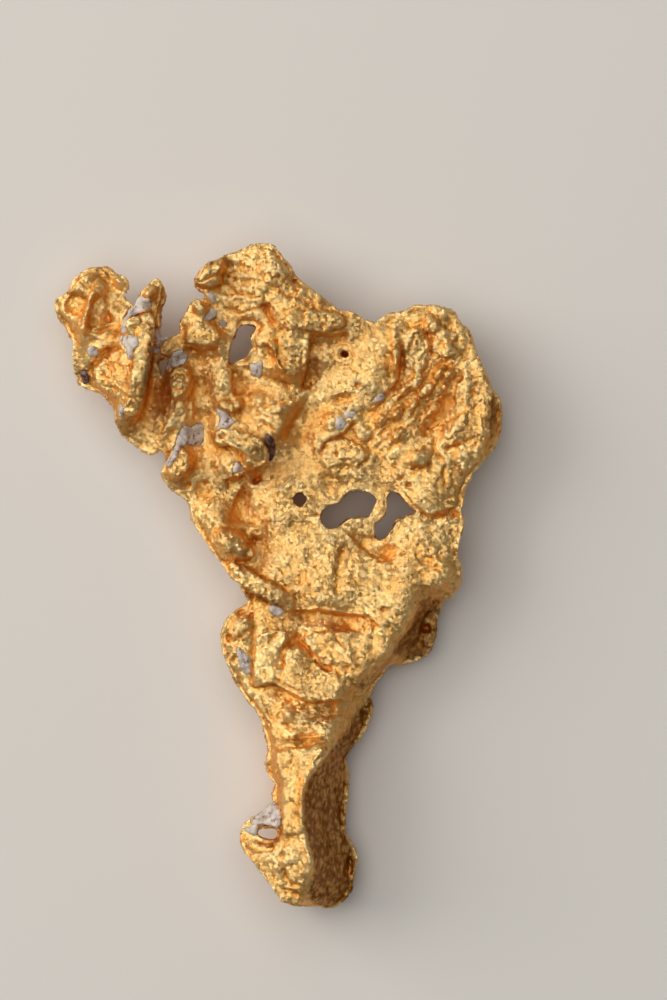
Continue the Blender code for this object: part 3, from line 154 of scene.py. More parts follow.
# The solid's own main strokes, which its facets blur and the skin makes sharp again.
# Ledges: the ground right of the run drops by so much and comes back level over the reach.
MAIN_LEDGES = [
    ("main plate lip", [(1.0, -3.0), (3.6, -2.9), (5.5, -3.3), (8.2, -3.4), (9.4, -4.6)], 1.0, 1.6),
    ("cliff under the upper plate", [(1.9, 16.9), (2.4, 18.6), (2.6, 20.2), (2.9, 21.9)], 1.2, 1.6),
    ("shelf over the right basin", [(2.7, 22.0), (4.8, 22.05), (6.5, 22.3)], 0.8, 1.5),
    ("leaf edge", [(3.5, 11.0), (4.0, 12.3), (6.0, 13.2), (6.8, 14.4)], 0.7, 2.0),
    ("right plate edge", [(6.9, 14.7), (8.7, 15.4), (9.7, 16.6), (10.8, 18.0), (10.9, 21.0)], 0.5, 1.2),
    ("channel bank", [(-4.1, 16.3), (-4.3, 17.2), (-4.3, 19.0)], 1.0, 1.6),
    ("upper left plate edge", [(-8.6, 21.0), (-7.0, 20.7), (-5.4, 21.0)], 0.9, 1.6),
    ("ledge under the bent hole", [(10.6, 1.3), (9.2, 1.3), (7.4, 2.6), (6.2, 3.9)], 0.5, 1.6),
    ("crack to the right side", [(12.8, 5.9), (14.2, 5.9), (16.2, 6.5)], 0.4, 1.2),
    ("brow of the body", [(-2.6, -9.9), (-0.4, -9.6), (1.4, -10.6), (3.2, -11.3), (6.2, -11.0)], 1.1,
        1.8),
    ("bowl brow", [(-14.8, 23.2), (-15.9, 22.8), (-17.4, 22.4)], 0.9, 1.4),
    ("fold over the ridge plate", [(-17.2, 20.3), (-15.9, 20.8), (-14.2, 21.0)], 0.6, 1.4),
    ("lip over the left basin", [(-5.0, 8.9), (-3.9, 9.1), (-3.0, 9.5)], 1.0, 1.3),
    ("right lobe plate", [(11.8, 19.0), (11.7, 21.0), (12.2, 21.9), (13.4, 21.4), (13.6, 20.0)], 0.4,
        1.0),
    ("plate side", [(8.2, -9.6), (9.3, -8.3), (10.6, -6.5), (11.7, -4.6), (12.8, -2.4)], 1.2, 1.2),
    ("body plate edge", [(0.2, -9.0), (0.3, -7.2), (1.7, -5.9), (3.4, -7.6), (4.6, -8.0)], 0.6, 1.2),
]

# Crests: a rise along a run, with its own slope on the left and on the right of it.
MAIN_CRESTS = [
    ("spur ridge", [(-12.2, 23.4), (-12.5, 20.6), (-12.9, 18.2), (-13.5, 15.8), (-14.3, 14.5)], 1.3, 1.4,
        0.6),
    ("lobe ridge", [(-16.0, 26.3), (-17.0, 24.8), (-17.6, 23.4), (-17.7, 21.8)], 0.9, 0.8, 0.8),
    ("lobe rim", [(-19.8, 24.2), (-19.2, 25.4), (-18.0, 27.0), (-16.6, 27.6)], 0.6, 0.6, 0.9),
    ("rough ridge", [(-4.6, 0.6), (-3.0, 0.1), (-1.4, -0.7), (0.2, -1.8), (1.2, -2.6)], 0.9, 0.8, 0.8),
    ("leg crest", [(5.6, -14.3), (4.3, -15.9), (2.9, -17.6), (2.1, -19.4), (2.1, -21.6), (2.4, -23.6),
        (3.0, -25.6), (2.9, -27.6)], 0.5, 1.0, 0.7),
    ("right plate rim", [(10.3, 22.4), (10.7, 20.4), (10.6, 18.2)], 0.35, 0.7, 0.5),
    ("window rim", [(-0.9, 21.6), (-0.3, 20.8), (0.0, 19.3), (0.7, 18.4)], 0.5, 0.5, 0.5),
    ("lip rim", [(7.2, -3.5), (8.2, -4.0), (8.4, -5.0)], 0.5, 0.5, 0.5),
]

# Grooves: the same, downwards.
MAIN_GROOVES = [
    ("top lobe groove", [(-4.4, 29.0), (-4.7, 27.6), (-5.0, 26.2)], 0.5, 0.9, 0.7),
    ("right lobe groove", [(13.2, 22.4), (13.9, 21.4), (14.0, 19.8)], 0.4, 0.7, 0.7),
    ("body valley", [(1.4, -4.6), (1.7, -5.6), (2.4, -6.4), (3.4, -7.5)], 0.4, 0.8, 0.6),
    ("body left valley", [(1.6, -5.8), (0.4, -6.8), (0.1, -8.6)], 0.35, 0.6, 0.6),
    ("pitted lobe valley", [(-2.2, -3.6), (-2.3, -6.0), (-2.5, -9.6), (-2.4, -11.0)], 0.25, 0.7, 0.5),
    ("smooth band", [(15.4, 16.9), (15.3, 15.0), (14.2, 13.8), (12.9, 12.8)], 0.35, 0.8, 0.8),
    ("upper plate crease", [(-1.4, 24.8), (-0.6, 23.2), (0.6, 22.0)], 0.3, 0.6, 0.6),
    ("plate crack", [(6.1, 3.2), (5.6, 1.6), (5.4, 0.2), (5.2, -1.6)], 0.15, 0.5, 0.5),
    ("spur valley", [(-11.4, 20.4), (-11.4, 18.2), (-11.9, 16.0), (-12.6, 13.6)], 0.6, 0.9, 1.0),
]

# Domes on the front: x, y, half length, half width, turn in degrees, rise. A bowl's rise is negative.
MAIN_DOMES = [
    ("lobe bowl", -18.4, 24.8, 1.3, 1.5, 20, -0.9),
    ("striated bowl", -16.3, 24.4, 1.0, 1.5, -20, -0.6),
    ("lobe notch", -15.3, 26.6, 0.6, 0.8, 0, -0.4),
    ("ridge plate", -15.1, 18.0, 2.2, 1.9, 30, 0.9),
    ("spur tip", -11.4, 26.0, 0.8, 1.1, -35, 0.9),
    ("left lump", -8.9, 17.6, 1.3, 1.6, 0, 1.2),
    ("vein lump", -8.9, 10.3, 1.3, 1.8, -20, 1.1),
    ("channel bowl", -6.9, 7.8, 1.0, 1.3, 0, -0.35),
    ("curved cliff foot", -3.4, 6.4, 0.8, 2.0, -15, -0.7),
    ("pocket under the curl", -1.9, 9.1, 0.9, 0.6, 40, -0.4),
    ("rough lump", -4.5, 3.0, 2.0, 1.5, -25, 1.3),
    ("pocket beside the lump", -2.2, 3.2, 0.6, 0.9, 0, -0.2),
    ("recess dome", -2.0, 16.2, 1.0, 0.9, 0, 0.5),
    ("orange bowl", 0.9, 17.6, 0.9, 0.6, 0, -0.5),
    ("recess lip bowl", 1.5, 15.9, 0.7, 0.5, 30, -0.6),
    ("right basin", 4.9, 20.9, 1.7, 1.2, 10, -0.25),
    ("pinhole basin", 6.1, 20.3, 0.9, 0.8, 0, -0.3),
    ("shallow dent", 5.9, 16.2, 1.3, 0.6, 10, -0.4),
    ("basin behind the pit", 5.0, 14.2, 1.3, 0.9, 20, 0.4),
    ("shaded dome", 7.6, 13.2, 0.9, 0.7, -30, 0.5),
    ("knobbly dome", 6.6, 11.2, 1.8, 0.9, -5, 0.7),
    ("top lobe knob", -6.2, 27.5, 1.7, 0.8, 35, 0.9),
    ("top lobe lump", -5.9, 26.7, 0.9, 0.5, 15, 0.5),
    ("top lobe brow", -0.2, 28.0, 1.6, 1.6, 0, 0.6),
    ("top lobe pit", -2.8, 26.8, 0.8, 0.6, 0, -0.5),
    ("upper bowl", -1.0, 20.2, 0.7, 1.2, 15, -0.5),
    ("shelf lump", 4.0, 23.1, 2.2, 0.9, 5, 0.5),
    ("right lobe lump", 15.4, 20.7, 0.7, 1.0, 10, 0.6),
    ("right lobe upper lump", 13.9, 23.0, 0.8, 1.0, 20, 0.5),
    ("right brow", 17.6, 16.6, 1.2, 1.6, 15, 0.5),
    ("right plate", 15.9, 13.2, 1.0, 1.8, -35, 0.5),
    ("plate over the hole", 12.7, 10.7, 1.2, 0.9, 25, 0.5),
    ("floor of the bent hole", 9.9, 2.3, 1.1, 0.8, 0, -0.4),
    ("body bowl", 6.2, -4.7, 1.3, 0.7, 0, -0.4),
    ("body plate", 1.7, -7.6, 1.2, 1.5, -15, 0.6),
    ("body lower pit", 4.5, -8.4, 0.6, 0.4, -20, -0.3),
    ("body small bowl", 2.9, -8.1, 0.6, 0.6, 0, -0.35),
    ("pitted lobe", -3.4, -4.6, 1.3, 1.1, 20, 0.4),
    ("leg hollow", 0.3, -10.9, 0.9, 1.1, 30, -0.3),
    ("leg hollow dome", 0.8, -12.2, 0.8, 1.0, 10, 0.5),
    ("leg lower hollow", 4.4, -12.0, 1.4, 0.6, -5, -0.4),
    ("leg waist", 2.6, -14.6, 1.9, 0.5, 5, -0.6),
    ("foot side bowl", 6.3, -26.6, 0.5, 1.2, 0, -0.4),
]
PEBBLES = [  # the long pebbles of the right lobe, all of one size and turn
    (9.3, 14.3), (10.8, 14.9), (12.2, 15.6), (13.4, 16.9), (10.9, 12.9), (12.5, 17.8),
    (14.6, 18.6), (11.3, 16.9), (14.1, 15.2), (15.4, 18.4),
]
MAIN_DOMES += [("pebble", x, y, 0.95, 0.48, 48, 0.6) for x, y in PEBBLES]

# Finer strokes. Plates: flat pieces with a crisp edge all round: corners, rise, width of the edge.
PLATES = [
    ("right side", [(16.4, 19.4), (17.5, 20.6), (18.5, 18.8), (19.3, 16.8), (19.1, 15.6), (18.9, 14.0),
        (18.8, 12.4), (17.6, 10.4), (16.8, 9.0), (15.9, 10.4), (16.6, 14.0)], 0.5, 0.5),
    ("top left knob", [(-7.6, 26.6), (-7.0, 27.7), (-5.8, 28.7), (-4.9, 29.0), (-4.9, 27.6), (-5.1, 26.5),
        (-6.2, 26.2), (-7.2, 26.2)], 0.35, 0.3),
    ("upper left plate", [(-8.6, 21.2), (-7.0, 20.8), (-5.6, 21.0), (-5.2, 21.8), (-5.6, 22.8),
        (-6.8, 23.2), (-8.4, 22.6)], 0.3, 0.25),
    ("rough lump top", [(-5.7, 3.9), (-4.6, 4.5), (-3.2, 4.0), (-2.9, 3.0), (-4.2, 2.5), (-5.4, 3.0)],
        0.25, 0.3),
    ("rough ridge top", [(-5.0, 1.3), (-4.0, 1.6), (-2.0, 0.0), (0.4, -1.5), (1.2, -2.7), (0.2, -2.5),
        (-1.6, -1.4), (-3.4, -0.4)], 0.3, 0.3),
    ("body left", [(-2.2, -5.6), (-0.8, -4.6), (0.8, -4.9), (1.0, -5.8), (0.2, -6.6), (-0.1, -9.2),
        (-2.2, -9.6)], 0.1, 0.2),
    ("body middle", [(0.4, -8.8), (0.5, -7.0), (1.6, -5.9), (3.4, -7.6), (4.2, -8.3), (5.0, -8.6),
        (5.4, -9.6), (5.2, -10.8), (3.0, -10.9), (1.6, -10.2), (0.2, -9.6)], 0.1, 0.2),
    ("body right", [(2.2, -5.5), (4.4, -4.8), (7.2, -4.8), (8.0, -5.4), (8.6, -6.8), (7.6, -7.8),
        (5.4, -8.0), (4.4, -7.8), (3.4, -7.2)], 0.05, 0.3),
    ("leg front", [(-0.3, -15.8), (2.6, -15.4), (4.4, -15.3), (2.8, -17.6), (2.1, -19.2), (2.0, -23.2),
        (0.3, -23.4), (0.2, -19.0), (-0.1, -17.2)], 0.2, 0.25),
    ("foot front", [(-2.8, -24.8), (-0.8, -24.7), (0.6, -24.2), (2.2, -23.6), (2.8, -25.2), (2.9, -26.8),
        (2.0, -28.6), (0.6, -29.1), (-0.6, -28.0), (-1.8, -26.4)], 0.25, 0.4),
    ("lobe facet", [(-19.1, 25.9), (-18.2, 26.9), (-17.1, 25.7)], 0.15, 0.2),
    ("lobe bowl floor", [(-19.5, 25.0), (-18.8, 25.7), (-17.5, 25.5), (-17.3, 25.0), (-17.7, 24.2),
        (-18.2, 24.0), (-19.2, 24.4)], -0.08, 0.2),
    ("striated bowl", [(-16.4, 26.1), (-17.0, 25.2), (-17.4, 23.6), (-17.0, 22.95), (-15.6, 23.1),
        (-15.1, 23.6), (-15.4, 24.8)], -0.1, 0.3),
    ("ridge plate", [(-17.0, 18.6), (-15.9, 19.9), (-15.0, 20.7), (-14.3, 20.7), (-13.6, 19.9),
        (-13.5, 17.8), (-13.8, 15.8), (-14.3, 15.6), (-15.3, 16.6), (-16.6, 17.4)], 0.3, 0.25),
    ("left lump", [(-9.3, 19.3), (-8.2, 19.2), (-7.8, 18.0), (-8.1, 17.0), (-9.3, 16.1), (-9.8, 16.6),
        (-10.1, 18.5)], 0.3, 0.25),
    ("ribbed plate", [(-10.9, 12.8), (-9.8, 13.3), (-8.6, 14.2), (-7.8, 13.8), (-7.65, 15.0),
        (-7.7, 16.4), (-8.6, 15.5), (-9.9, 14.8)], 0.3, 0.2),
    ("vein lump", [(-8.7, 11.8), (-8.0, 11.3), (-7.8, 10.1), (-8.4, 9.4), (-9.7, 9.2), (-10.5, 9.4),
        (-9.9, 10.4), (-9.3, 11.2)], 0.3, 0.25),
    ("top lobe strip", [(-7.6, 26.8), (-6.3, 28.0), (-5.1, 28.4), (-5.0, 27.7), (-5.6, 27.4),
        (-6.6, 27.0), (-7.3, 26.5)], 0.25, 0.2),
    ("top lobe lower strip", [(-6.9, 26.4), (-6.2, 27.0), (-5.3, 27.3), (-5.2, 26.9), (-5.9, 26.3),
        (-6.6, 26.15)], 0.2, 0.2),
    ("shelf", [(0.4, 23.4), (1.0, 22.7), (2.0, 22.4), (3.0, 22.15), (3.8, 22.0), (4.5, 22.05),
        (5.0, 22.3), (5.9, 22.35), (6.2, 22.9), (5.8, 23.9), (4.2, 24.2), (2.0, 24.3), (0.8, 24.0)], 0.4,
        0.25),
    ("nub", [(-5.6, 15.9), (-5.3, 15.3), (-4.1, 14.7), (-3.9, 15.4), (-4.3, 15.9), (-5.0, 16.1)], 0.25,
        0.2),
    ("curl top", [(-5.4, 12.9), (-4.6, 13.0), (-3.2, 12.5), (-2.5, 12.3), (-2.7, 11.9), (-3.6, 12.0),
        (-4.6, 12.45), (-5.3, 12.5)], 0.25, 0.2),
    ("curl boss", [(-3.3, 10.8), (-2.8, 11.1), (-2.3, 10.7), (-2.4, 10.2), (-3.0, 10.1)], 0.15, 0.25),
    ("speckled lip", [(-4.8, 9.1), (-3.9, 9.6), (-3.1, 9.8), (-3.0, 9.4), (-3.8, 9.05)], 0.25, 0.2),
    ("face under the cliff", [(-4.5, 5.0), (-3.9, 4.25), (-2.4, 4.25), (-1.9, 4.8), (-3.2, 5.05)], 0.25,
        0.2),
    ("recess over the crack", [(0.95, 5.15), (2.0, 5.1), (3.2, 5.3), (3.4, 4.6), (2.6, 4.1), (1.3, 4.0),
        (0.9, 4.5)], -0.15, 0.15),
    ("domed plate", [(3.9, 10.1), (3.8, 11.4), (4.3, 12.4), (5.6, 12.8), (7.4, 12.2), (8.2, 11.0),
        (7.2, 10.0), (5.4, 10.2), (4.6, 9.8)], 0.2, 0.2),
    ("plate at the bent hole", [(10.2, 9.3), (10.9, 10.2), (12.6, 9.9), (12.9, 9.0), (12.2, 7.9),
        (11.0, 8.4)], 0.12, 0.15),
    ("rounded plate", [(12.1, 10.2), (12.2, 11.0), (13.2, 11.7), (13.9, 11.6), (13.9, 10.6), (13.5, 9.9)],
        0.25, 0.2),
    ("right brow plate", [(16.0, 15.3), (17.5, 15.3), (18.6, 15.5), (19.1, 16.4), (18.4, 18.0),
        (17.2, 18.8), (16.2, 17.6), (15.9, 16.4)], 0.25, 0.2),
    ("right lower plate", [(15.7, 12.2), (17.0, 12.5), (18.4, 12.3), (18.6, 13.6), (18.2, 14.9),
        (16.6, 15.0), (15.6, 13.6)], 0.25, 0.25),
    ("right lobe plate", [(11.9, 19.0), (11.8, 20.6), (12.4, 21.9), (13.3, 21.4), (13.6, 20.2),
        (13.2, 18.8), (12.5, 18.2)], 0.2, 0.2),
    ("right lobe knob", [(15.0, 20.0), (15.0, 21.2), (15.7, 21.6), (16.1, 20.8), (15.7, 19.9)], 0.3,
        0.25),
    ("right lobe upper knob", [(12.0, 22.0), (11.9, 22.6), (12.5, 22.9), (13.0, 22.4), (12.6, 21.9)], 0.3,
        0.2),
    ("body left plate", [(-2.3, -7.6), (-0.6, -7.8), (-0.2, -8.6), (-0.4, -9.6), (-1.5, -9.8),
        (-2.3, -9.3)], 0.2, 0.2),
    ("body right plate", [(2.0, -5.7), (3.4, -5.0), (4.9, -5.0), (5.4, -5.8), (6.2, -6.4), (6.4, -7.4),
        (5.2, -8.1), (4.0, -7.9), (3.2, -7.0)], 0.15, 0.15),
    ("bowl in the body", [(5.5, -8.1), (6.6, -7.7), (7.8, -7.9), (7.6, -8.7), (6.4, -8.8), (5.6, -8.5)],
        -0.15, 0.3),
    ("leg triangle", [(-0.4, -15.8), (1.6, -15.4), (4.7, -14.9), (3.1, -16.5), (2.8, -17.6), (1.3, -18.8),
        (0.2, -18.0), (-0.2, -17.0)], 0.15, 0.15),
    ("leg strip", [(0.35, -19.2), (1.3, -18.9), (2.2, -18.9), (1.95, -20.4), (2.0, -23.1), (1.2, -23.4),
        (0.45, -23.3), (0.35, -21.0)], 0.12, 0.15),
    ("foot plate", [(1.4, -23.9), (2.2, -23.5), (2.7, -24.8), (2.95, -26.4), (2.3, -27.8), (1.0, -27.6),
        (0.3, -25.6)], 0.12, 0.2),
]

# Ledges: the ground right of the run drops by so much and comes back level over the reach.
LEDGES = [
    ("shelf over the recess", [(-4.8, 19.3), (-2.6, 19.2), (-1.4, 18.5), (-0.4, 18.2), (0.8, 17.8),
        (1.5, 17.2)], 0.4, 0.8),
    ("double lip", [(7.5, -3.3), (8.4, -4.0), (8.3, -5.0)], 0.3, 0.6),
    ("ribbed plate edge", [(-7.9, 16.3), (-7.7, 15.2), (-7.7, 13.7)], 0.35, 0.7),
    ("curved cliff", [(-4.7, 4.9), (-4.4, 6.0), (-4.0, 7.2), (-3.1, 8.9)], 0.5, 1.4),
    ("lower plate side", [(0.3, 12.4), (1.2, 14.2), (2.2, 16.0)], 0.4, 0.8),
    ("cliff edge", [(1.7, 16.8), (2.2, 18.4), (2.5, 19.6), (2.8, 21.8)], 0.35, 0.7),
    ("right plate step", [(6.0, 14.9), (7.0, 15.1), (8.2, 15.5), (9.7, 16.6), (10.6, 17.6), (10.85, 19.0),
        (10.9, 20.8), (10.4, 22.2)], 0.3, 0.6),
    ("main plate step", [(0.65, 2.3), (0.5, 1.2), (0.6, 0.6), (0.5, -0.2)], 0.12, 0.8),
    ("body edge", [(3.6, -8.1), (2.6, -6.6), (1.7, -5.8), (0.7, -6.6), (0.2, -7.5), (0.1, -9.0)], 0.3,
        0.7),
    ("brow", [(5.7, -9.4), (5.3, -8.9), (5.0, -8.3), (4.4, -8.0), (3.7, -7.9)], 0.3, 0.7),
    ("leaf line", [(3.6, 11.2), (3.9, 12.0), (5.0, 12.8), (6.3, 13.2)], 0.25, 0.6),
]

# Creases: a sharp groove along a run, with its depth and half width.
CREASES = [
    ("lobe facet line", [(-18.2, 27.2), (-17.4, 26.3)], 0.15, 0.2),
    ("brow crevice", [(-17.3, 22.5), (-16.2, 22.3), (-15.1, 22.9)], 0.4, 0.35),
    ("band above the ridge plate", [(-17.6, 18.4), (-16.8, 19.3), (-16.1, 20.1), (-15.3, 20.95),
        (-14.2, 21.15)], 0.4, 0.45),
    ("ridge plate crinkle", [(-16.6, 18.4), (-15.2, 18.0), (-14.4, 18.3)], 0.18, 0.22),
    ("lower crinkle", [(-16.2, 17.4), (-15.0, 17.2), (-14.4, 16.8)], 0.18, 0.2),
    ("upper crinkle", [(-15.6, 19.6), (-14.9, 19.0), (-14.8, 18.2)], 0.15, 0.2),
    ("left lump ring", [(-9.7, 18.0), (-9.3, 18.6), (-8.6, 18.5), (-8.3, 17.8), (-8.8, 17.3)], 0.15, 0.2),
    ("left lump line", [(-10.0, 17.4), (-9.0, 16.9), (-8.1, 17.3)], 0.15, 0.2),
    ("line between the strips", [(-7.0, 26.7), (-6.0, 27.2), (-5.2, 27.5)], 0.2, 0.18),
    ("upper plate crease", [(-1.4, 25.0), (-1.2, 24.2), (-0.9, 23.6), (-0.2, 22.9)], 0.3, 0.3),
    ("fold beside the window", [(-0.2, 22.4), (0.0, 21.5), (-0.1, 20.5), (0.2, 19.3), (0.8, 18.8)], 0.25,
        0.25),
    ("line over the window", [(-5.0, 24.4), (-4.0, 24.3), (-3.6, 23.9), (-2.2, 24.3), (-1.4, 24.3)], 0.25,
        0.25),
    ("top lobe line", [(-4.4, 26.0), (-3.0, 25.7), (-2.0, 25.4), (-1.2, 25.4)], 0.25, 0.35),
    ("top lobe long line", [(-1.0, 26.4), (0.2, 26.0), (1.4, 25.4), (2.6, 25.0), (3.6, 24.6)], 0.2, 0.25),
    ("terrace line", [(-2.0, 16.2), (-1.4, 15.6), (-0.6, 15.4), (0.2, 15.9), (1.0, 16.0)], 0.2, 0.25),
    ("lower terrace line", [(-1.9, 15.0), (-1.0, 14.5), (0.0, 14.8), (0.8, 14.6)], 0.18, 0.2),
    ("lowest terrace line", [(-1.6, 13.9), (-0.8, 13.6), (-0.2, 13.0)], 0.18, 0.2),
    ("right lobe groove", [(11.2, 21.5), (11.3, 20.0), (11.2, 18.5)], 0.35, 0.35),
    ("right lobe dark crease", [(14.9, 23.0), (15.6, 22.4), (16.6, 22.5), (17.1, 22.9)], 0.35, 0.3),
    ("right lobe upper groove", [(13.4, 22.4), (13.8, 21.6), (13.9, 20.8), (14.0, 20.0)], 0.3, 0.35),
    ("right side crease", [(17.8, 17.2), (17.6, 16.3), (18.0, 15.5)], 0.3, 0.2),
    ("lower right crease", [(15.0, 11.5), (16.0, 11.9), (17.0, 12.3), (18.0, 12.0), (18.8, 12.0)], 0.3,
        0.25),
    ("line beside the rounded plate", [(14.2, 13.0), (14.1, 11.6), (14.9, 10.5)], 0.3, 0.25),
    ("right streak", [(15.2, 10.6), (15.0, 9.5), (15.2, 8.0)], 0.18, 0.2),
    ("second right streak", [(15.9, 10.4), (15.8, 9.2), (15.9, 8.2)], 0.12, 0.18),
    ("crack to the right side", [(12.7, 6.3), (13.1, 5.8), (14.0, 5.4), (15.0, 5.6), (16.1, 6.3)], 0.3,
        0.22),
    ("long plate crack", [(6.2, 3.5), (5.7, 1.8), (5.3, 0.5), (5.2, -1.2), (5.6, -2.0)], 0.12, 0.14),
    ("short plate crack", [(4.7, 2.4), (4.8, 1.4), (5.1, 0.9)], 0.14, 0.13),
    ("first plate nick", [(2.8, -1.1), (3.1, -0.5)], 0.12, 0.12),
    ("second plate nick", [(2.0, -0.4), (1.8, -1.0)], 0.12, 0.12),
    ("third plate nick", [(4.0, -0.9), (4.3, -1.7)], 0.12, 0.12),
    ("fourth plate nick", [(6.7, -1.9), (6.9, -1.2)], 0.12, 0.12),
    ("fifth plate nick", [(7.9, -1.8), (8.4, -1.6)], 0.12, 0.12),
    ("curve beside the lip", [(8.4, -4.1), (8.7, -4.8), (8.6, -5.6)], 0.15, 0.15),
    ("streak", [(-1.5, 2.2), (-1.4, 0.9)], 0.2, 0.2),
    ("body crease", [(-1.0, -6.0), (-0.5, -5.4), (0.0, -5.0)], 0.25, 0.25),
    ("body right line", [(4.9, -4.9), (5.4, -5.8), (6.2, -6.4), (6.0, -7.2)], 0.15, 0.15),
    ("line beside the pitted lobe", [(-2.3, -5.6), (-2.5, -7.6), (-2.5, -10.2)], 0.18, 0.15),
    ("body lower line", [(-0.1, -9.2), (0.8, -9.8), (1.6, -10.4), (2.6, -10.2)], 0.15, 0.2),
    ("leg upper band", [(-1.8, -11.7), (0.6, -11.9), (3.4, -11.6)], 0.12, 0.3),
    ("leg left line", [(-1.6, -10.8), (-0.9, -12.2), (-0.2, -13.6)], 0.2, 0.25),
    ("leg fold line", [(0.2, -13.2), (1.2, -13.9), (2.2, -13.8)], 0.25, 0.25),
    ("leg right fold", [(2.3, -11.2), (2.8, -12.2), (4.4, -12.7), (5.8, -12.4)], 0.2, 0.25),
    ("leg middle band", [(-0.4, -14.5), (1.4, -14.7), (3.4, -14.4), (4.8, -14.2)], 0.12, 0.3),
    ("leg lower band", [(-0.6, -15.4), (1.2, -15.3), (3.2, -14.9)], 0.12, 0.2),
    ("leg crack", [(0.6, -16.5), (1.4, -16.9), (1.1, -17.6), (1.6, -18.2)], 0.1, 0.12),
    ("foot crack", [(0.9, -23.7), (0.4, -24.6), (0.2, -25.4)], 0.18, 0.15),
    ("foot long crack", [(-0.4, -25.0), (0.2, -26.2), (0.9, -27.6)], 0.12, 0.15),
]

# Ribs: a sharp rise along a run, with its height and half width.
RIBS = [
    ("lobe rim", [(-20.0, 24.4), (-19.2, 23.9), (-18.4, 23.6), (-17.9, 22.6), (-17.6, 21.3)], 0.3, 0.4),
    ("lobe rib", [(-16.5, 26.3), (-17.1, 25.4), (-17.5, 24.2), (-17.5, 23.0)], 0.3, 0.35),
    ("notch rib", [(-16.0, 27.8), (-15.5, 27.1)], 0.25, 0.2),
    ("second notch rib", [(-15.9, 26.8), (-15.3, 26.3)], 0.25, 0.2),
    ("knob rib", [(-14.7, 27.1), (-13.9, 26.4)], 0.2, 0.3),
    ("upper left plate rib", [(-6.3, 22.4), (-6.2, 21.2)], 0.18, 0.16),
    ("second plate rib", [(-5.85, 22.3), (-5.75, 21.3)], 0.18, 0.15),
    ("third plate rib", [(-5.5, 22.4), (-5.4, 21.6)], 0.15, 0.14),
    ("plate knob rib", [(-7.7, 25.0), (-7.2, 24.3)], 0.2, 0.2),
    ("second plate knob rib", [(-7.2, 24.9), (-6.7, 24.2)], 0.2, 0.2),
    ("window ridge", [(-1.3, 21.3), (-0.7, 21.0), (-0.35, 20.4), (-0.35, 19.8)], 0.25, 0.25),
    ("cliff rib", [(3.1, 17.2), (3.8, 17.9)], 0.25, 0.2),
    ("right plate rim", [(10.3, 23.0), (10.7, 21.6), (10.4, 20.4), (10.65, 19.2), (10.3, 18.0)], 0.25,
        0.3),
    ("channel rib", [(-11.8, 13.2), (-11.3, 13.6), (-10.9, 14.1)], 0.3, 0.25),
    ("lower channel rib", [(-10.8, 12.4), (-10.4, 12.8), (-10.0, 13.3)], 0.3, 0.25),
    ("first ribbed plate rib", [(-8.0, 16.0), (-7.85, 15.0)], 0.15, 0.15),
    ("second ribbed plate rib", [(-8.6, 14.5), (-8.1, 14.9)], 0.12, 0.15),
    ("wrinkle", [(-0.4, 7.0), (0.0, 8.0), (0.9, 8.8), (1.7, 9.3)], 0.2, 0.2),
    ("second wrinkle", [(0.1, 7.3), (0.6, 8.1), (1.3, 8.6)], 0.12, 0.15),
    ("left crack line", [(-0.9, 6.2), (-0.8, 4.4), (-0.85, 3.0)], 0.18, 0.14),
    ("second crack line", [(-0.55, 6.4), (-0.5, 5.2), (-0.6, 4.0)], 0.14, 0.12),
    ("bright edge line", [(-1.55, 2.3), (-1.35, 1.3)], 0.15, 0.12),
    ("leaf rib", [(3.45, 13.0), (3.3, 12.0), (3.6, 11.0), (3.8, 9.9)], 0.15, 0.2),
    ("lip", [(2.0, -3.1), (3.4, -2.8), (4.6, -2.95), (6.2, -3.2), (7.6, -3.25), (8.3, -3.8),
        (8.35, -4.4)], 0.22, 0.2),
    ("second lip", [(6.9, -3.9), (7.5, -4.3), (7.8, -5.0)], 0.15, 0.15),
    ("ring knob", [(-2.5, 4.2), (-2.0, 4.5), (-1.6, 4.2), (-1.7, 3.8)], 0.2, 0.2),
    ("leg bright rim", [(2.2, -10.9), (3.6, -11.1), (5.4, -11.0), (6.8, -10.8)], 0.15, 0.25),
    ("leg right rim", [(6.1, -20.0), (6.1, -22.0)], 0.2, 0.3),
    ("foot right rim", [(6.9, -25.6), (6.9, -27.4)], 0.2, 0.3),
    ("right side rim", [(20.1, 16.2), (20.25, 14.8), (20.1, 13.6)], 0.2, 0.3),
    ("wall rim of the foot hole", [(-2.4, -22.4), (-1.0, -22.7), (0.0, -22.7)], 0.15, 0.2),
]

# Rolls: a rounded top along a run, as high as the ground beside it, with its half width. They carry
# the high ground out over the solid's own slopes.
ROLLS = [
    ("spur", [(-11.9, 23.2), (-11.95, 21.6), (-12.25, 20.0), (-12.5, 18.2), (-12.9, 16.2), (-13.3, 15.4)],
        0.75),
    ("curl", [(-5.2, 12.5), (-4.4, 12.6), (-3.4, 12.2), (-2.6, 11.7), (-2.0, 11.1)], 0.6),
    ("rough ridge", [(-3.6, 0.4), (-2.5, -0.4), (-1.5, -1.0), (-0.3, -1.6), (0.7, -2.3)], 0.8),
    ("right side", [(17.0, 21.2), (17.7, 19.6), (18.3, 18.0), (18.6, 16.6), (18.5, 15.0), (18.4, 13.2),
        (17.8, 11.8), (17.0, 10.4)], 0.8),
    ("right corner", [(14.4, 24.0), (15.8, 23.5), (16.6, 22.4), (17.0, 21.0)], 0.6),
    ("foot side", [(-2.8, -24.4), (-2.2, -25.6), (-1.4, -26.8), (-0.5, -28.0), (0.4, -28.8),
        (1.6, -29.0)], 0.6),
]

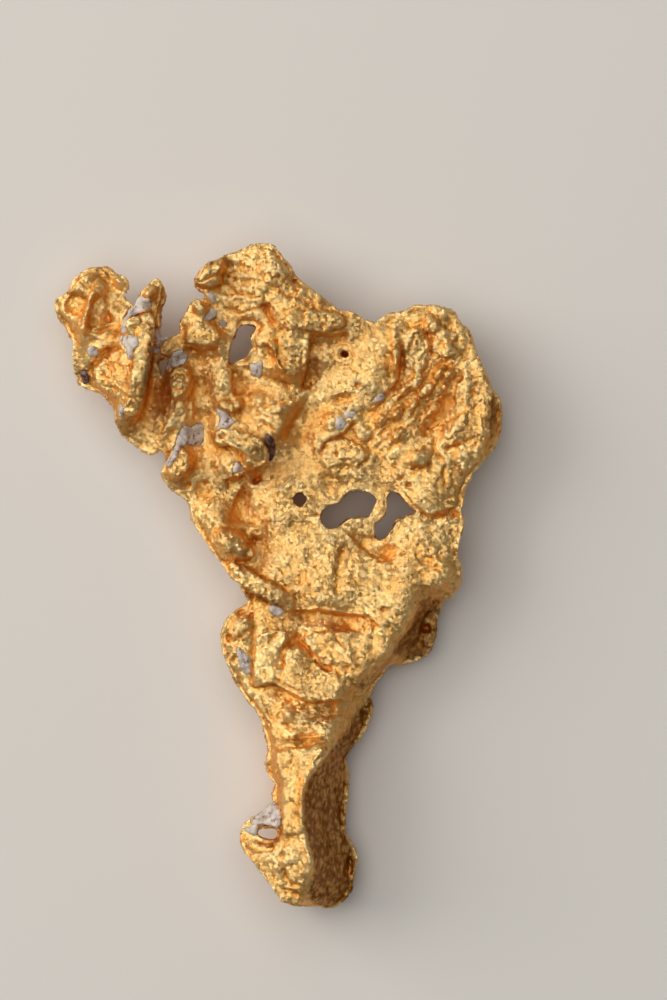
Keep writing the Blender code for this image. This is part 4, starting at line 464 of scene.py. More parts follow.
# Pits: place, half length, half width, turn, depth.
PITS = [
    (-4.6, 11.7, 0.3, 0.18, 30, 0.3), (-5.8, 9.9, 0.4, 0.22, 10, 0.3), (-6.75, 8.5, 0.3, 0.2, 50, 0.25),
    (-8.2, 8.3, 0.45, 0.3, 60, 0.35), (-2.0, 8.75, 0.55, 0.3, 35, 0.6), (-2.3, 3.3, 0.4, 0.6, 0, 0.35),
    (7.2, 17.4, 0.3, 0.2, 0, 0.3), (11.0, 8.9, 0.3, 0.2, 20, 0.35), (11.8, 8.4, 0.3, 0.2, 20, 0.35),
    (5.25, 11.2, 0.4, 0.12, -65, 0.45), (9.5, -2.9, 0.2, 0.3, 0, 0.3), (16.1, 5.8, 0.35, 0.3, 0, 0.4),
    (16.1, 2.2, 0.35, 0.3, 0, 0.4), (13.5, -4.8, 0.5, 0.45, 0, 0.7), (14.3, -2.2, 0.4, 0.35, 0, 0.5),
    (-3.4, -3.2, 0.45, 0.3, 20, 0.4), (-2.5, -3.6, 0.45, 0.25, 60, 0.4), (-4.5, -5.6, 0.3, 0.4, 0, 0.4),
    (-3.4, -5.4, 0.3, 0.22, 0, 0.35), (-2.9, -5.0, 0.3, 0.22, 0, 0.35), (-4.0, -7.5, 0.3, 0.45, 0, 0.45),
    (4.5, -8.2, 0.45, 0.25, -20, 0.15), (3.45, 5.7, 0.25, 0.12, 0, 0.4),
    (-1.8, 4.15, 0.25, 0.12, 80, 0.3), (6.0, 20.25, 0.4, 0.3, -30, 1.2),
]

# Bumps: the same, upwards.
BUMPS = [
    (-3.5, 6.4, 0.8, 2.0, -15, 0.3),
    (0.9, 17.6, 0.9, 0.6, 0, 0.5), (1.5, 15.9, 0.7, 0.5, 30, 0.9), (-1.0, 20.0, 0.7, 1.2, 15, 0.25),
    (-2.8, 26.8, 0.8, 0.6, 0, 0.25), (6.2, -4.7, 1.3, 0.7, 0, 0.25), (0.3, -10.9, 0.9, 1.1, 30, 0.3),
    (4.4, -12.0, 1.4, 0.6, -5, 0.3), (2.6, -14.6, 1.9, 0.5, 5, 0.3), (-18.4, 24.6, 1.0, 1.0, 0, 0.3),
    (-16.1, 24.3, 0.7, 1.2, -20, 0.3), (-15.3, 26.6, 0.5, 0.7, 0, 0.3), (-7.2, 14.0, 0.8, 4.0, -4, 0.3),
]

# Patches of ground: place, half length, half width, turn, strength. They fade out to their edge.
PEBBLED = [
    (-2.0, 27.2, 5.6, 3.6, -20, 1.0), (2.6, 24.4, 4.0, 1.8, -25, 1.0), (15.0, 22.0, 3.6, 2.4, 0, 0.8),
    (16.8, 13.0, 2.6, 4.0, -10, 0.5), (1.5, -26.5, 3.0, 3.0, 0, 0.3), (-15.0, 18.0, 3.0, 2.4, 20, 0.6),
    (6.6, 11.4, 3.0, 2.0, 0, 0.5), (-8.8, 17.6, 1.8, 2.2, 0, 0.6), (0.6, 20.6, 2.4, 2.4, 0, 0.5),
    (-0.6, 14.8, 2.4, 1.6, 0, 0.5), (1.8, -12.4, 4.0, 1.8, 0, 0.5), (11.2, 22.6, 1.8, 2.0, 0, 0.9),
]
RUBBLE = [
    (-1.5, 27.4, 4.6, 3.2, -10, 1.0), (3.6, 24.0, 3.6, 1.8, -25, 1.0), (1.6, 20.4, 1.6, 2.6, 0, 0.8),
    (13.6, 21.4, 4.4, 3.4, 0, 0.7), (11.6, 14.6, 4.4, 3.4, 45, 0.6), (-14.9, 18.0, 2.6, 2.6, 0, 0.8),
    (-8.9, 17.8, 1.4, 1.8, 0, 0.8), (-9.0, 10.4, 1.8, 1.6, 0, 1.0), (-4.3, 3.2, 2.2, 1.3, -20, 1.0),
    (-2.2, -0.6, 3.0, 1.2, -25, 1.0), (-8.9, 14.4, 1.8, 1.2, 30, 0.6), (3.8, -10.6, 3.0, 0.9, 0, 0.7),
    (4.4, -13.3, 1.8, 0.7, 0, 0.8), (-12.8, 23.0, 0.9, 0.9, 0, 0.6), (-4.2, 9.3, 1.4, 0.6, 15, 1.0),
    (14.4, -1.0, 2.2, 1.4, 20, 0.8), (6.0, -0.6, 1.6, 2.6, 0, 0.4), (18.2, 14.6, 2.0, 5.6, 0, 0.8),
    (7.0, -10.2, 3.4, 1.2, 35, 1.0), (1.2, -28.4, 2.8, 1.8, -10, 1.0), (15.4, 4.4, 1.6, 4.0, 0, 0.8),
]
LONG_PEBBLED = [
    (11.2, 14.6, 5.6, 2.8, 48, 1.0), (14.2, 18.4, 3.6, 2.6, 48, 1.0), (9.6, 11.8, 2.2, 1.2, 48, 0.8),
    (11.6, 20.4, 1.2, 2.6, 10, 0.5),
]
LONG_TURN = 52  # the run of the long pebbles, NE to SW
SPECKLED = [
    (-11.9, 19.4, 0.5, 4.6, -6, 0.8), (-13.9, 13.7, 1.5, 1.6, 0, 1.0), (2.4, 19.2, 0.6, 2.6, 0, 0.9),
    (6.0, 20.2, 1.0, 0.8, 0, 0.4), (19.4, 14.6, 0.9, 3.2, 0, 0.5), (-4.1, 2.6, 2.2, 1.2, -20, 0.9),
    (-1.6, -1.6, 2.8, 1.0, -25, 0.9), (13.7, 1.4, 1.4, 4.6, 0, 0.7), (14.0, -4.6, 1.6, 3.4, -10, 0.6),
    (5.0, -19.0, 2.0, 8.0, 4, 0.8), (-2.1, 11.6, 1.3, 0.8, -40, 0.9), (-9.8, 9.0, 1.6, 0.6, -45, 0.8),
    (7.4, -12.4, 1.4, 2.6, 10, 0.7), (9.8, -8.6, 0.7, 3.4, -38, 0.9), (12.2, -4.0, 0.6, 2.6, -30, 0.9),
    (-3.4, 15.3, 0.7, 0.8, 0, 0.9), (-1.8, -11.4, 1.6, 0.9, -50, 0.8), (4.2, 17.6, 1.6, 0.9, 0, 0.6),
]
CRINKLED = [
    (5.0, 1.0, 7.0, 4.6, 0, 0.8), (12.5, 2.0, 4.6, 5.0, 0, 1.0), (9.0, -2.5, 4.0, 2.0, 0, 0.7),
    (13.0, 9.5, 4.4, 2.6, 20, 0.8), (2.5, -6.5, 6.0, 3.4, -10, 0.8), (0.5, 20.6, 2.6, 2.6, 0, 0.7),
    (8.2, 19.0, 2.6, 3.4, 0, 0.8), (-6.6, 5.4, 1.8, 1.6, 0, 0.7), (-15.2, 18.2, 2.6, 2.4, 0, 1.0),
    (1.8, 7.6, 2.4, 2.4, 0, 0.8), (5.2, 8.9, 2.4, 1.2, 0, 0.9), (1.4, -17.0, 2.0, 2.2, 0, 0.7),
    (1.4, -26.0, 2.6, 3.0, 0, 0.7), (16.6, 15.0, 3.0, 4.4, 0, 0.6),
]
# Fine striations, which run along each patch's own turn.
STRIATED = [
    (-16.0, 24.2, 1.7, 1.1, 55, 1.0), (-14.5, 24.4, 2.8, 0.9, 62, 1.0), (-15.4, 21.9, 1.3, 0.7, 50, 0.6),
    (-9.6, 14.4, 2.4, 1.2, 48, 1.0), (-1.6, -25.4, 3.0, 0.9, -52, 0.8), (4.6, -20.4, 7.6, 1.9, -80, 1.0),
    (7.3, -12.6, 3.0, 1.0, -75, 0.9), (-12.9, 18.6, 4.2, 0.6, 96, 0.5), (-11.9, 25.9, 1.3, 0.7, 55, 0.8),
    (-17.2, 18.9, 1.2, 0.6, 40, 0.8), (-4.6, 15.3, 0.9, 0.5, 50, 1.0), (17.0, 16.8, 1.6, 1.1, 80, 0.7),
    (-1.6, 12.2, 1.0, 0.9, -45, 0.8), (13.6, -5.0, 2.4, 1.2, -70, 0.5), (-2.2, -1.9, 1.0, 0.5, -20, 0.5),
]
SMOOTH = [
    (-18.4, 24.9, 1.7, 1.6, 0, 1.0), (-7.0, 14.6, 1.3, 5.4, -4, 0.9), (15.6, 16.6, 0.45, 1.6, 0, 0.9),
    (14.0, 14.0, 1.9, 0.5, 38, 0.9), (-6.9, 7.8, 1.6, 1.6, 0, 0.9), (9.3, 2.3, 1.5, 0.8, 0, 0.9),
    (-2.8, 6.6, 0.9, 2.2, -15, 0.8), (-11.8, 17.0, 0.8, 4.0, 8, 0.9), (-2.4, 17.2, 1.9, 1.5, 0, 0.9),
    (4.6, -4.1, 3.4, 0.7, 0, 0.9), (0.6, 10.4, 1.6, 2.2, -20, 0.9), (-0.8, 1.4, 0.9, 1.4, 0, 0.8),
    (4.6, 21.3, 1.5, 0.6, 0, 0.8), (-3.6, 24.9, 1.5, 0.6, 0, 0.7), (5.9, 16.3, 0.9, 0.6, 0, 0.9),
    (2.6, 14.4, 1.2, 1.8, -20, 0.7), (-4.0, 11.4, 1.4, 0.5, -30, 0.9), (-3.2, -4.4, 1.6, 1.2, 0, 0.7),
    (0.6, -12.0, 1.2, 1.0, 0, 0.5), (4.6, -12.5, 1.4, 0.5, -5, 0.7), (1.6, 12.2, 1.0, 1.0, 0, 0.8),
]
# Sides painted dark as painted shade, with painted glints on their grit: corners and strength.
PAINTED_SHADE_SIDES = [
    ("leg face", [(8.4, -10.6), (7.0, -12.5), (5.2, -14.9), (3.5, -17.0), (2.5, -18.6), (2.15, -20.5),
        (2.2, -22.5), (2.9, -25.0), (3.1, -26.5), (2.6, -28.6), (3.0, -29.8), (4.5, -30.4), (6.8, -29.4),
        (7.2, -26.0), (6.2, -23.5), (6.2, -17.0), (8.0, -13.6), (8.8, -11.6)], 0.75),
    ("flap", [(12.7, -2.2), (13.6, -1.6), (14.8, -2.4), (15.2, -4.5), (14.6, -6.4), (13.5, -7.4),
        (12.2, -7.8), (11.0, -7.5), (10.2, -6.8), (11.8, -4.6)], 0.6),
    ("body side", [(13.0, -2.4), (12.4, -4.2), (11.1, -5.4), (10.1, -7.0), (9.2, -8.0), (8.1, -8.9),
        (6.4, -9.7), (7.6, -10.6), (9.2, -9.2), (10.5, -7.6), (11.8, -6.0), (13.0, -4.0)], 0.4),
    ("spur side", [(-11.8, 23.0), (-11.85, 22.0), (-12.1, 20.0), (-12.25, 18.0), (-12.8, 16.0),
        (-13.1, 15.0), (-12.5, 15.0), (-12.1, 16.0), (-11.5, 18.0), (-11.3, 20.0), (-11.1, 22.0),
        (-11.2, 23.4)], 0.6),
    ("spur foot", [(-15.2, 14.8), (-13.8, 15.1), (-13.0, 14.4), (-12.8, 13.3), (-13.6, 12.4),
        (-15.0, 13.2)], 0.35),
    ("right side", [(18.9, 15.9), (19.6, 16.6), (20.0, 15.0), (19.9, 13.0), (19.2, 12.2), (18.9, 13.6)],
        0.5),
    ("cliff", [(2.8, 22.0), (2.6, 20.0), (2.2, 18.6), (1.8, 17.2), (2.4, 17.0), (3.2, 18.0), (3.3, 19.4),
        (3.1, 21.6)], 0.35),
    ("ridge side", [(-3.2, -0.9), (-1.8, -1.1), (0.2, -2.3), (1.2, -3.0), (-0.4, -2.8), (-2.0, -2.3),
        (-3.2, -2.2)], 0.5),
    ("lump side", [(-5.8, 3.2), (-4.8, 2.5), (-3.2, 2.6), (-2.7, 3.4), (-2.3, 2.6), (-3.0, 1.7),
        (-4.4, 1.8)], 0.4),
    ("curl side", [(-3.2, 11.6), (-2.2, 12.2), (-1.4, 12.0), (-1.1, 11.4), (-1.5, 10.9), (-2.5, 11.0)],
        0.45),
    ("vein lump side", [(-10.8, 9.4), (-9.7, 9.1), (-8.3, 9.2), (-8.0, 8.6), (-8.8, 7.8), (-10.0, 8.6)],
        0.4),
    ("nub side", [(-4.0, 14.9), (-3.3, 15.9), (-2.9, 15.6), (-3.2, 14.8), (-3.8, 14.3)], 0.5),
    ("tip side", [(-11.1, 27.2), (-10.2, 26.0), (-10.3, 24.2), (-10.8, 22.8), (-11.3, 23.8),
        (-11.2, 25.6)], 0.4),
    ("leg band", [(-0.6, -14.3), (2.4, -14.5), (4.8, -14.1), (4.6, -14.7), (1.6, -15.3), (-0.6, -15.3)],
        0.3),
    # Painted shadow down in the pinhole.
    ("pinhole", [(5.7, 20.3), (5.95, 20.6), (6.25, 20.5), (6.35, 20.15), (6.1, 19.9), (5.8, 20.0)], 1.0),
]


def activate(piece):
    bpy.ops.object.select_all(action="DESELECT")
    piece.select_set(True)
    bpy.context.view_layer.objects.active = piece


def copy_of_node(node, name):
    """A copy of a CAD node, its loose triangles merged to one skin, loose from the frame."""
    activate(frame["nodes"][node])
    bpy.ops.object.duplicate()
    piece = bpy.context.view_layer.objects.active
    piece.name = name
    piece.parent = None
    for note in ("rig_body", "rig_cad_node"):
        del piece[note]
    bpy.ops.object.mode_set(mode="EDIT")
    bpy.ops.mesh.select_all(action="SELECT")
    bpy.ops.mesh.remove_doubles(threshold=SAME_PLACE * MM)
    bpy.ops.object.mode_set(mode="OBJECT")
    return piece


def apply_modifier(piece, name, kind, **settings):
    activate(piece)
    modifier = piece.modifiers.new(name, kind)
    for setting, value in settings.items():
        setattr(modifier, setting, value)
    bpy.ops.object.modifier_apply(modifier=name)


def remesh(piece, cell):
    activate(piece)
    piece.data.remesh_voxel_size = cell * MM
    bpy.ops.object.voxel_remesh()


def read(items, attribute, width, kind=np.float32):
    """An attribute of a mesh's vertices, normals or edges, a row for each."""
    flat = np.empty(len(items) * width, kind)
    items.foreach_get(attribute, flat)
    return flat.reshape(-1, width)


def points_of(piece):
    """The vertices of a piece, in millimetres."""
    return read(piece.data.vertices, "co", 3).astype(float) / MM


def normals_of(piece):
    return read(piece.data.vertex_normals, "vector", 3).astype(float)


def edges_of(piece):
    return read(piece.data.edges, "vertices", 2, np.int32)


def put_points(piece, points):
    piece.data.vertices.foreach_set("co", (points * MM).astype(np.float32).ravel())
    piece.data.update()


def smoothstep(low, high, value):
    share = np.clip((value - low) / (high - low), 0, 1)
    return share * share * (3 - 2 * share)


def measured(path):
    """The lengths of a path's steps, and how far along it each of its places is."""
    steps = np.linalg.norm(np.diff(np.array(path, float), axis=0), axis=1)
    return steps, np.concatenate([[0], np.cumsum(steps)])


def beside(points, path):
    """Distance from an open path, the side (+1 left of its run) and the share of it passed."""
    steps, starts = measured(path)
    path = np.array(path, float)
    far = np.full(len(points), np.inf)
    side, share = np.zeros(len(points)), np.zeros(len(points))
    for a, b, length, start in zip(path, path[1:], steps, starts):
        run = (b - a) / length
        offset = points - a
        passed = np.clip(offset @ run, 0, length)
        gap = np.linalg.norm(offset - passed[:, None] * run, axis=1)
        nearer = gap < far
        far[nearer] = gap[nearer]
        turn = run[0] * offset[:, 1] - run[1] * offset[:, 0]
        side[nearer] = np.sign(turn[nearer])
        share[nearer] = (start + passed[nearer]) / starts[-1]
    return far, side, share


def near(points, places, reach):
    """Which points are in the box round the places, so that a stroke reads only those."""
    places = np.array(places, float)
    low, high = places.min(axis=0) - reach, places.max(axis=0) + reach
    return ((points > low) & (points < high)).all(axis=1)


def ends_fade(share):
    return np.clip(np.minimum(share, 1 - share) / END_SHARE, 0, 1)


def add_ledge(height, points, path, drop, reach):
    here = near(points, path, reach)
    far, side, share = beside(points[here], path)
    fall = np.clip(far / SKIN_CELL / LEDGE_CELLS, 0, 1) * np.clip(1 - far / reach, 0, 1)
    height[here] += np.where(side < 0, -drop * (fall * ends_fade(share)), 0)


def add_crest(height, points, path, rise, left, right):
    here = near(points, path, max(left, right))
    far, side, share = beside(points[here], path)
    slope = np.clip(1 - far / np.where(side > 0, left, right), 0, 1)
    height[here] += rise * slope * np.clip(ends_fade(share), CREST_END, 1)


def add_rib(height, points, path, rise, half_width):
    here = near(points, path, half_width)
    far, _, share = beside(points[here], path)
    slope = 1 - smoothstep(0, half_width, far)
    height[here] += rise * slope * np.clip(ends_fade(share), RIB_END, 1)


def add_roll(height, points, path, half_width):
    """Fills the ground up to a rounded top, which runs level with the highest ground at its places."""
    here = near(points[:, :2], path, half_width)
    level = points[here, 2] + height[here]
    flat = points[here, :2]
    tops = [level[np.linalg.norm(flat - place, axis=1) < half_width].max() for place in path]
    _, starts = measured(path)
    far, _, share = beside(flat, path)
    fall = ROLL_SIDE * half_width * (1 - np.sqrt(np.clip(1 - (far / half_width) ** 2, 0, 1)))
    fall += ROLL_END * half_width * (1 - ends_fade(share))
    top = np.interp(share * starts[-1], starts, tops) - fall
    height[here] += np.where(far < half_width, np.clip(top - level, 0, None), 0)


def turned(points, turn):
    """Points' X and Y in axes whose X runs along a turn."""
    c, s = math.cos(math.radians(turn)), math.sin(math.radians(turn))
    return points[:, 0] * c + points[:, 1] * s, points[:, 1] * c - points[:, 0] * s


def oval(points, x, y, half_length, half_width, turn):
    """1 at the middle of an oval and 0 at its edge, as a rounded bump."""
    along, across = turned(points - (x, y), turn)
    u, v = along / half_length, across / half_width
    return np.clip(1 - u * u - v * v, 0, 1)


def add_oval(height, points, x, y, half_length, half_width, turn, rise, roundness=1.0):
    here = near(points, [(x, y)], max(half_length, half_width))
    height[here] += rise * oval(points[here], x, y, half_length, half_width, turn) ** roundness


def ground(points, patches):
    """How much of a kind of ground each point has, from 0 to 1."""
    share = np.zeros(len(points))
    for *place, strength in patches:
        here = near(points, [place[:2]], max(place[2:4]))
        patch = strength * smoothstep(0, GROUND_EDGE, oval(points[here], *place))
        share[here] = np.maximum(share[here], patch)
    return share


def noise_at(points, size, octaves, seed):
    places = [Vector(p) for p in (points / size + seed)]
    return np.array([noise.fractal(place, OCTAVE_FALL, OCTAVE_STEP, octaves) for place in places])


def cells_at(points, size, seed):
    """Distances to the nearest and the next of places scattered about a size apart."""
    places = [Vector(p) for p in (points / size + seed)]
    return np.array([noise.voronoi(place)[0][:2] for place in places]).T


def pebbles_at(points, size, seed, middle, groove, groove_width, power=1.0):
    """Heights of pebbles about a size apart, and how far from its pebble's middle each point is."""
    near_cell, next_cell = cells_at(points, size, seed)
    gap = smoothstep(0.0, groove_width, next_cell - near_cell)
    return middle - near_cell ** power + groove * gap, near_cell


def facets_at(points, size, seed):
    """Heights of flat facets about a size across, each with its own tilt of up to 45 degrees."""
    places = points / size + seed
    centres = np.array([noise.voronoi(Vector(place))[1][0][:] for place in places])
    # Any uneven numbers do here, because they only scatter the tilts.
    scatter = np.array([[12.99, 39.35, 73.16], [78.23, 11.14, 52.24], [37.72, 83.16, 9.15]])
    tilts = 2 * ((np.sin(centres @ scatter) * 437.585) % 1) - 1
    return size * (tilts * (places - centres)).sum(axis=1)


def neighbour_sum(values, edges):
    """At each vertex, the sum of its neighbours' values."""
    here, there = edges.T
    count = len(values)
    return np.bincount(here, values[there], count) + np.bincount(there, values[here], count)


def averaged(values, edges, passes):
    """Values at vertices, each pass replaced by the mean of their neighbours'."""
    degree = np.bincount(edges.ravel(), minlength=len(values))
    for _ in range(passes):
        values = neighbour_sum(values, edges) / degree
    return values


def main_strokes(flat):
    height = np.zeros(len(flat))
    for _, *ledge in MAIN_LEDGES:
        add_ledge(height, flat, *ledge)
    for _, *crest in MAIN_CRESTS:
        add_crest(height, flat, *crest)
    for _, path, depth, left, right in MAIN_GROOVES:
        add_crest(height, flat, path, -depth, left, right)
    for _, *dome in MAIN_DOMES:
        add_oval(height, flat, *dome)
    return height


def inside(points, corners):
    """Whether each point is in a closed run of corners, by the even-odd rule."""
    x, y = points.T
    within = np.zeros(len(points), bool)
    for (x0, y0), (x1, y1) in zip(corners, corners[1:] + corners[:1]):
        if y0 != y1:
            spans = (y0 > y) != (y1 > y)
            within ^= spans & (x < x0 + (y - y0) * (x1 - x0) / (y1 - y0))
    return within


def add_patch(values, points, corners, amount, edge):
    here = near(points, corners, 0)
    far = beside(points[here], corners + corners[:1])[0]
    values[here] += np.where(inside(points[here], corners), amount * smoothstep(0, edge, far), 0)


def add_plate(height, points, front, corners, rise, edge):
    """Flattens the ground in a closed run of corners and raises it."""
    here = near(points[:, :2], corners, 0) & front
    here[here] = inside(points[here, :2], corners)
    flat = points[here, :2]
    level = points[here, 2] + height[here]
    share = smoothstep(0, edge, beside(flat, corners + corners[:1])[0])
    offset = np.column_stack([flat - flat.mean(axis=0), np.ones(len(flat))])
    *tilt, middle = np.linalg.lstsq(offset, level, rcond=None)[0]
    plane = middle + rise + PLATE_TILT * offset[:, :2] @ tilt
    height[here] += PLATE_FLATNESS * share * (plane - level)


def raise_rims(points, normals, edges, steps):
    """Heights that carry the ground of the side that shows out to its rims."""
    front = normals[:, 2] > RIM_FACING[0]
    rounded = ~front
    for _ in range(steps):
        for here, there in (edges.T, edges.T[::-1]):
            rounded[there[rounded[here]]] = True
    known = front & ~rounded
    zone = front & rounded
    ground_height = np.where(known, points[:, 2], 0)
    for _ in range(RIM_PASSES * steps):
        total, count = neighbour_sum(ground_height * known, edges), neighbour_sum(known, edges)
        ready = zone & (count > 0)
        ground_height[ready] = total[ready] / count[ready]
        known |= ready
    share = smoothstep(*RIM_FACING, normals[:, 2])
    return np.where(zone & known, share * np.clip(ground_height - points[:, 2], 0, RIM_RAISE), 0)


def fill_funnel(points):
    """Heights that fill the solid's wide funnel at the pinhole up to the ground round it."""
    across = points[:, :2] - PINHOLE
    far = np.linalg.norm(across, axis=1)
    front = points[:, 2] > points[far < FUNNEL, 2].mean()
    ring = front & (far > FUNNEL) & (far < FUNNEL_GROUND)
    ground_plan = np.column_stack([across, np.ones(len(far))])
    fit = np.linalg.lstsq(ground_plan[ring], points[ring, 2], rcond=None)[0]
    gap = np.clip(ground_plan @ fit - points[:, 2], 0, None)
    return np.where(front & (far < FUNNEL), gap, 0)


def work_front(points, normals, edges):
    """The strokes of the side that shows, as heights along +Z."""
    flat = points[:, :2]
    height = main_strokes(flat)
    height -= averaged(height, edges, BLUR_PASSES)
    for _, *plate in PLATES:
        add_plate(height, points, normals[:, 2] > PLATE_FACING, *plate)
    for _, *ledge in LEDGES:
        add_ledge(height, flat, *ledge)
    for _, *rib in RIBS:
        add_rib(height, flat, *rib)
    for _, path, depth, half_width in CREASES:
        add_rib(height, flat, path, -depth, half_width)
    for *place, depth in PITS:
        add_oval(height, flat, *place, -depth, PIT_ROUNDNESS)
    for bump in BUMPS:
        add_oval(height, flat, *bump)
    height *= smoothstep(*STROKE_FACING, normals[:, 2])
    rolled = height.copy()
    for _, *roll in ROLLS:
        add_roll(rolled, points, *roll)
    return height + (rolled - height) * smoothstep(*ROLL_FACING, normals[:, 2])


def stretched(points, turn, length, width):
    """Points turned so that X runs along a turn, then divided by a length along it and a width."""
    along, across = turned(points, turn)
    return np.column_stack([along / length, across / width, points[:, 2] / width])


def striae(points):
    """Fine striations, which run along the turn of each of their patches."""
    height = np.zeros(len(points))
    for number, (*place, strength) in enumerate(STRIATED):
        here = near(points[:, :2], [place[:2]], max(place[2:4]))
        share = smoothstep(0, STRIA_EDGE, oval(points[here, :2], *place))
        runs = stretched(points[here], place[4], STRIA_LENGTH, STRIA_WIDTH)
        height[here] += strength * share * noise_at(runs, 1.0, octaves=2, seed=41.3 + number)
    return height


def work_texture(points, normals):
    """The small forms of the whole skin, as heights along its normals, and its painted shade: dark sides
    with painted glints.
    """
    flat = points[:, :2]
    shows = smoothstep(*SHOWN_FACING, normals[:, 2])
    smooth, rubble, long_pebbled, crinkled = (
        ground(flat, patches) * shows for patches in (SMOOTH, RUBBLE, LONG_PEBBLED, CRINKLED))
    pebbled = np.where(shows > 0.5, ground(flat, PEBBLED), BACK_PEBBLED)
    steep = 1 - smoothstep(*STEEP_FACING, np.abs(normals[:, 2]))
    speckled = np.maximum(ground(flat, SPECKLED), STEEP_SPECKLED * steep)

    wander = [noise_at(points, WANDER_SIZE, octaves=2, seed=seed) for seed in (11.3, 23.9, 37.1)]
    bent = points + WANDER * np.column_stack(wander)
    pebbles, _ = pebbles_at(bent, PEBBLE_SIZE, seed=5.5, middle=0.5, groove=0.3, groove_width=0.2,
                            power=1.5)
    long_pebbles, _ = pebbles_at(stretched(bent, LONG_TURN, *LONG_SIZE), 1.0, seed=9.5, middle=0.4,
                                 groove=0.5, groove_width=0.25)
    grit, from_grit = pebbles_at(bent, GRIT_SIZE, seed=15.5, middle=0.4, groove=0.4,
                                 groove_width=0.25)
    creased = 1 - np.abs(noise_at(bent, CREASE_SIZE, octaves=4, seed=31.7)) * CREASE_SHARPNESS
    craze_near, craze_next = cells_at(bent, CRAZE_SIZE, seed=25.5)
    crazed = smoothstep(0.0, CRAZE_WIDTH, craze_next - craze_near) - 1

    height = SWELL * noise_at(points, SWELL_SIZE, octaves=3, seed=3.7)
    height += UNEVEN * noise_at(bent, UNEVEN_SIZE, octaves=3, seed=8.2)
    broad = BROAD_PLAIN + BROAD_PEBBLED * pebbled + BROAD_CRINKLED * crinkled
    height += broad * facets_at(bent, BROAD_FACET_SIZE, seed=2.1)
    fine = FINE_PLAIN + FINE_ROUGH * np.maximum(rubble, speckled)
    height += fine * facets_at(bent, FINE_FACET_SIZE, seed=6.7)
    height += PEBBLE_HEIGHT * pebbled * pebbles
    height += LONG_HEIGHT * long_pebbled * long_pebbles
    height += GRIT_RUBBLE * rubble * grit + GRIT_SPECKLED * speckled * grit
    height -= CREASE_DEPTH * crinkled * np.clip(creased, CREASE_TOP, 1)
    height += CRAZE_DEPTH * (CRAZE_PLAIN + CRAZE_MORE * crinkled + CRAZE_MORE * rubble) * crazed
    height = height * (1 - SMOOTHED * smooth) + STRIA_HEIGHT * striae(points) * shows
    # Painted shade on the listed dark sides, let off on each bit of grit so that the bits show as painted
    # glints.
    painted_shade = np.zeros(len(points))
    for _, corners, strength in PAINTED_SHADE_SIDES:
        add_patch(painted_shade, flat, corners, strength, PAINTED_SHADE_EDGE)
    painted_shade *= PAINTED_SHADE_ON_GRIT + PAINTED_SHADE_BETWEEN * smoothstep(*GRIT_BOUNDS, from_grit)
    return height, np.clip(painted_shade, 0, 1)


def hollowness(piece):
    """How deep each vertex lies below its surroundings, from 0 on top to 1 in a crevice."""
    points, edges = points_of(piece), edges_of(piece)
    around = np.column_stack([averaged(axis, edges, HOLLOW_PASSES) for axis in points.T])
    depth = ((around - points) * normals_of(piece)).sum(axis=1)
    return np.clip(0.5 + depth / HOLLOW_DEPTH / 2, 0, 1)


def keep_attribute(piece, name, values):
    attribute = piece.data.attributes.new(name, "FLOAT", "POINT")
    attribute.data.foreach_set("value", values.astype(np.float32))


def inside_box(points):
    low, high = (np.array(corner) / MM for corner in CAD_BOX)
    return np.clip(points, low, high)


def linear(code):
    """The linear colour of an sRGB hex value."""
    parts = [int(code[k:k + 2], 16) / 255 for k in (1, 3, 5)]
    return (*(p / 12.92 if p <= 0.04045 else ((p + 0.055) / 1.055) ** 2.4 for p in parts), 1.0)


def add_node(tree, kind, settings=(), links=(), stops=()):
    """A node with its settings and links, by the name or number of a socket or the name of an
    attribute, and with the places and colours of its ramp."""
    node = tree.nodes.new(kind)
    for name, value in dict(settings).items():
        if isinstance(name, int) or name in node.inputs:
            node.inputs[name].default_value = value
        else:
            setattr(node, name, value)
    for name, source in dict(links).items():
        tree.links.new(source, node.inputs[name])
    for _ in stops[2:]:
        node.color_ramp.elements.new(0.5)
    for number, (place, code) in enumerate(stops):
        node.color_ramp.elements[number].position = place
        node.color_ramp.elements[number].color = linear(code)
    return node


def new_material(name):
    made = bpy.data.materials.new(name)
    made.use_nodes = True
    return made, made.node_tree, made.node_tree.nodes["Principled BSDF"]


def add_chips(tree, where, under):
    """A bump of flat facets 0.3 mm across, each with its own tilt, on top of another bump."""
    cells = add_node(tree, "ShaderNodeTexVoronoi", {"Scale": 1 / (0.3 * MM)}, {"Vector": where})
    tilt = add_node(tree, "ShaderNodeVectorMath", {"operation": "SUBTRACT", 1: (0.5, 0.5, 0.5)},
                    {0: cells.outputs["Color"]})
    offset = add_node(tree, "ShaderNodeVectorMath", {"operation": "SUBTRACT"},
                      {0: where, 1: cells.outputs["Position"]})
    height = add_node(tree, "ShaderNodeVectorMath", {"operation": "DOT_PRODUCT"},
                      {0: tilt.outputs["Vector"], 1: offset.outputs["Vector"]})
    return add_node(tree, "ShaderNodeBump", {"Strength": 1.0, "Distance": 0.6},
                    {"Height": height.outputs["Value"], "Normal": under.outputs["Normal"]})


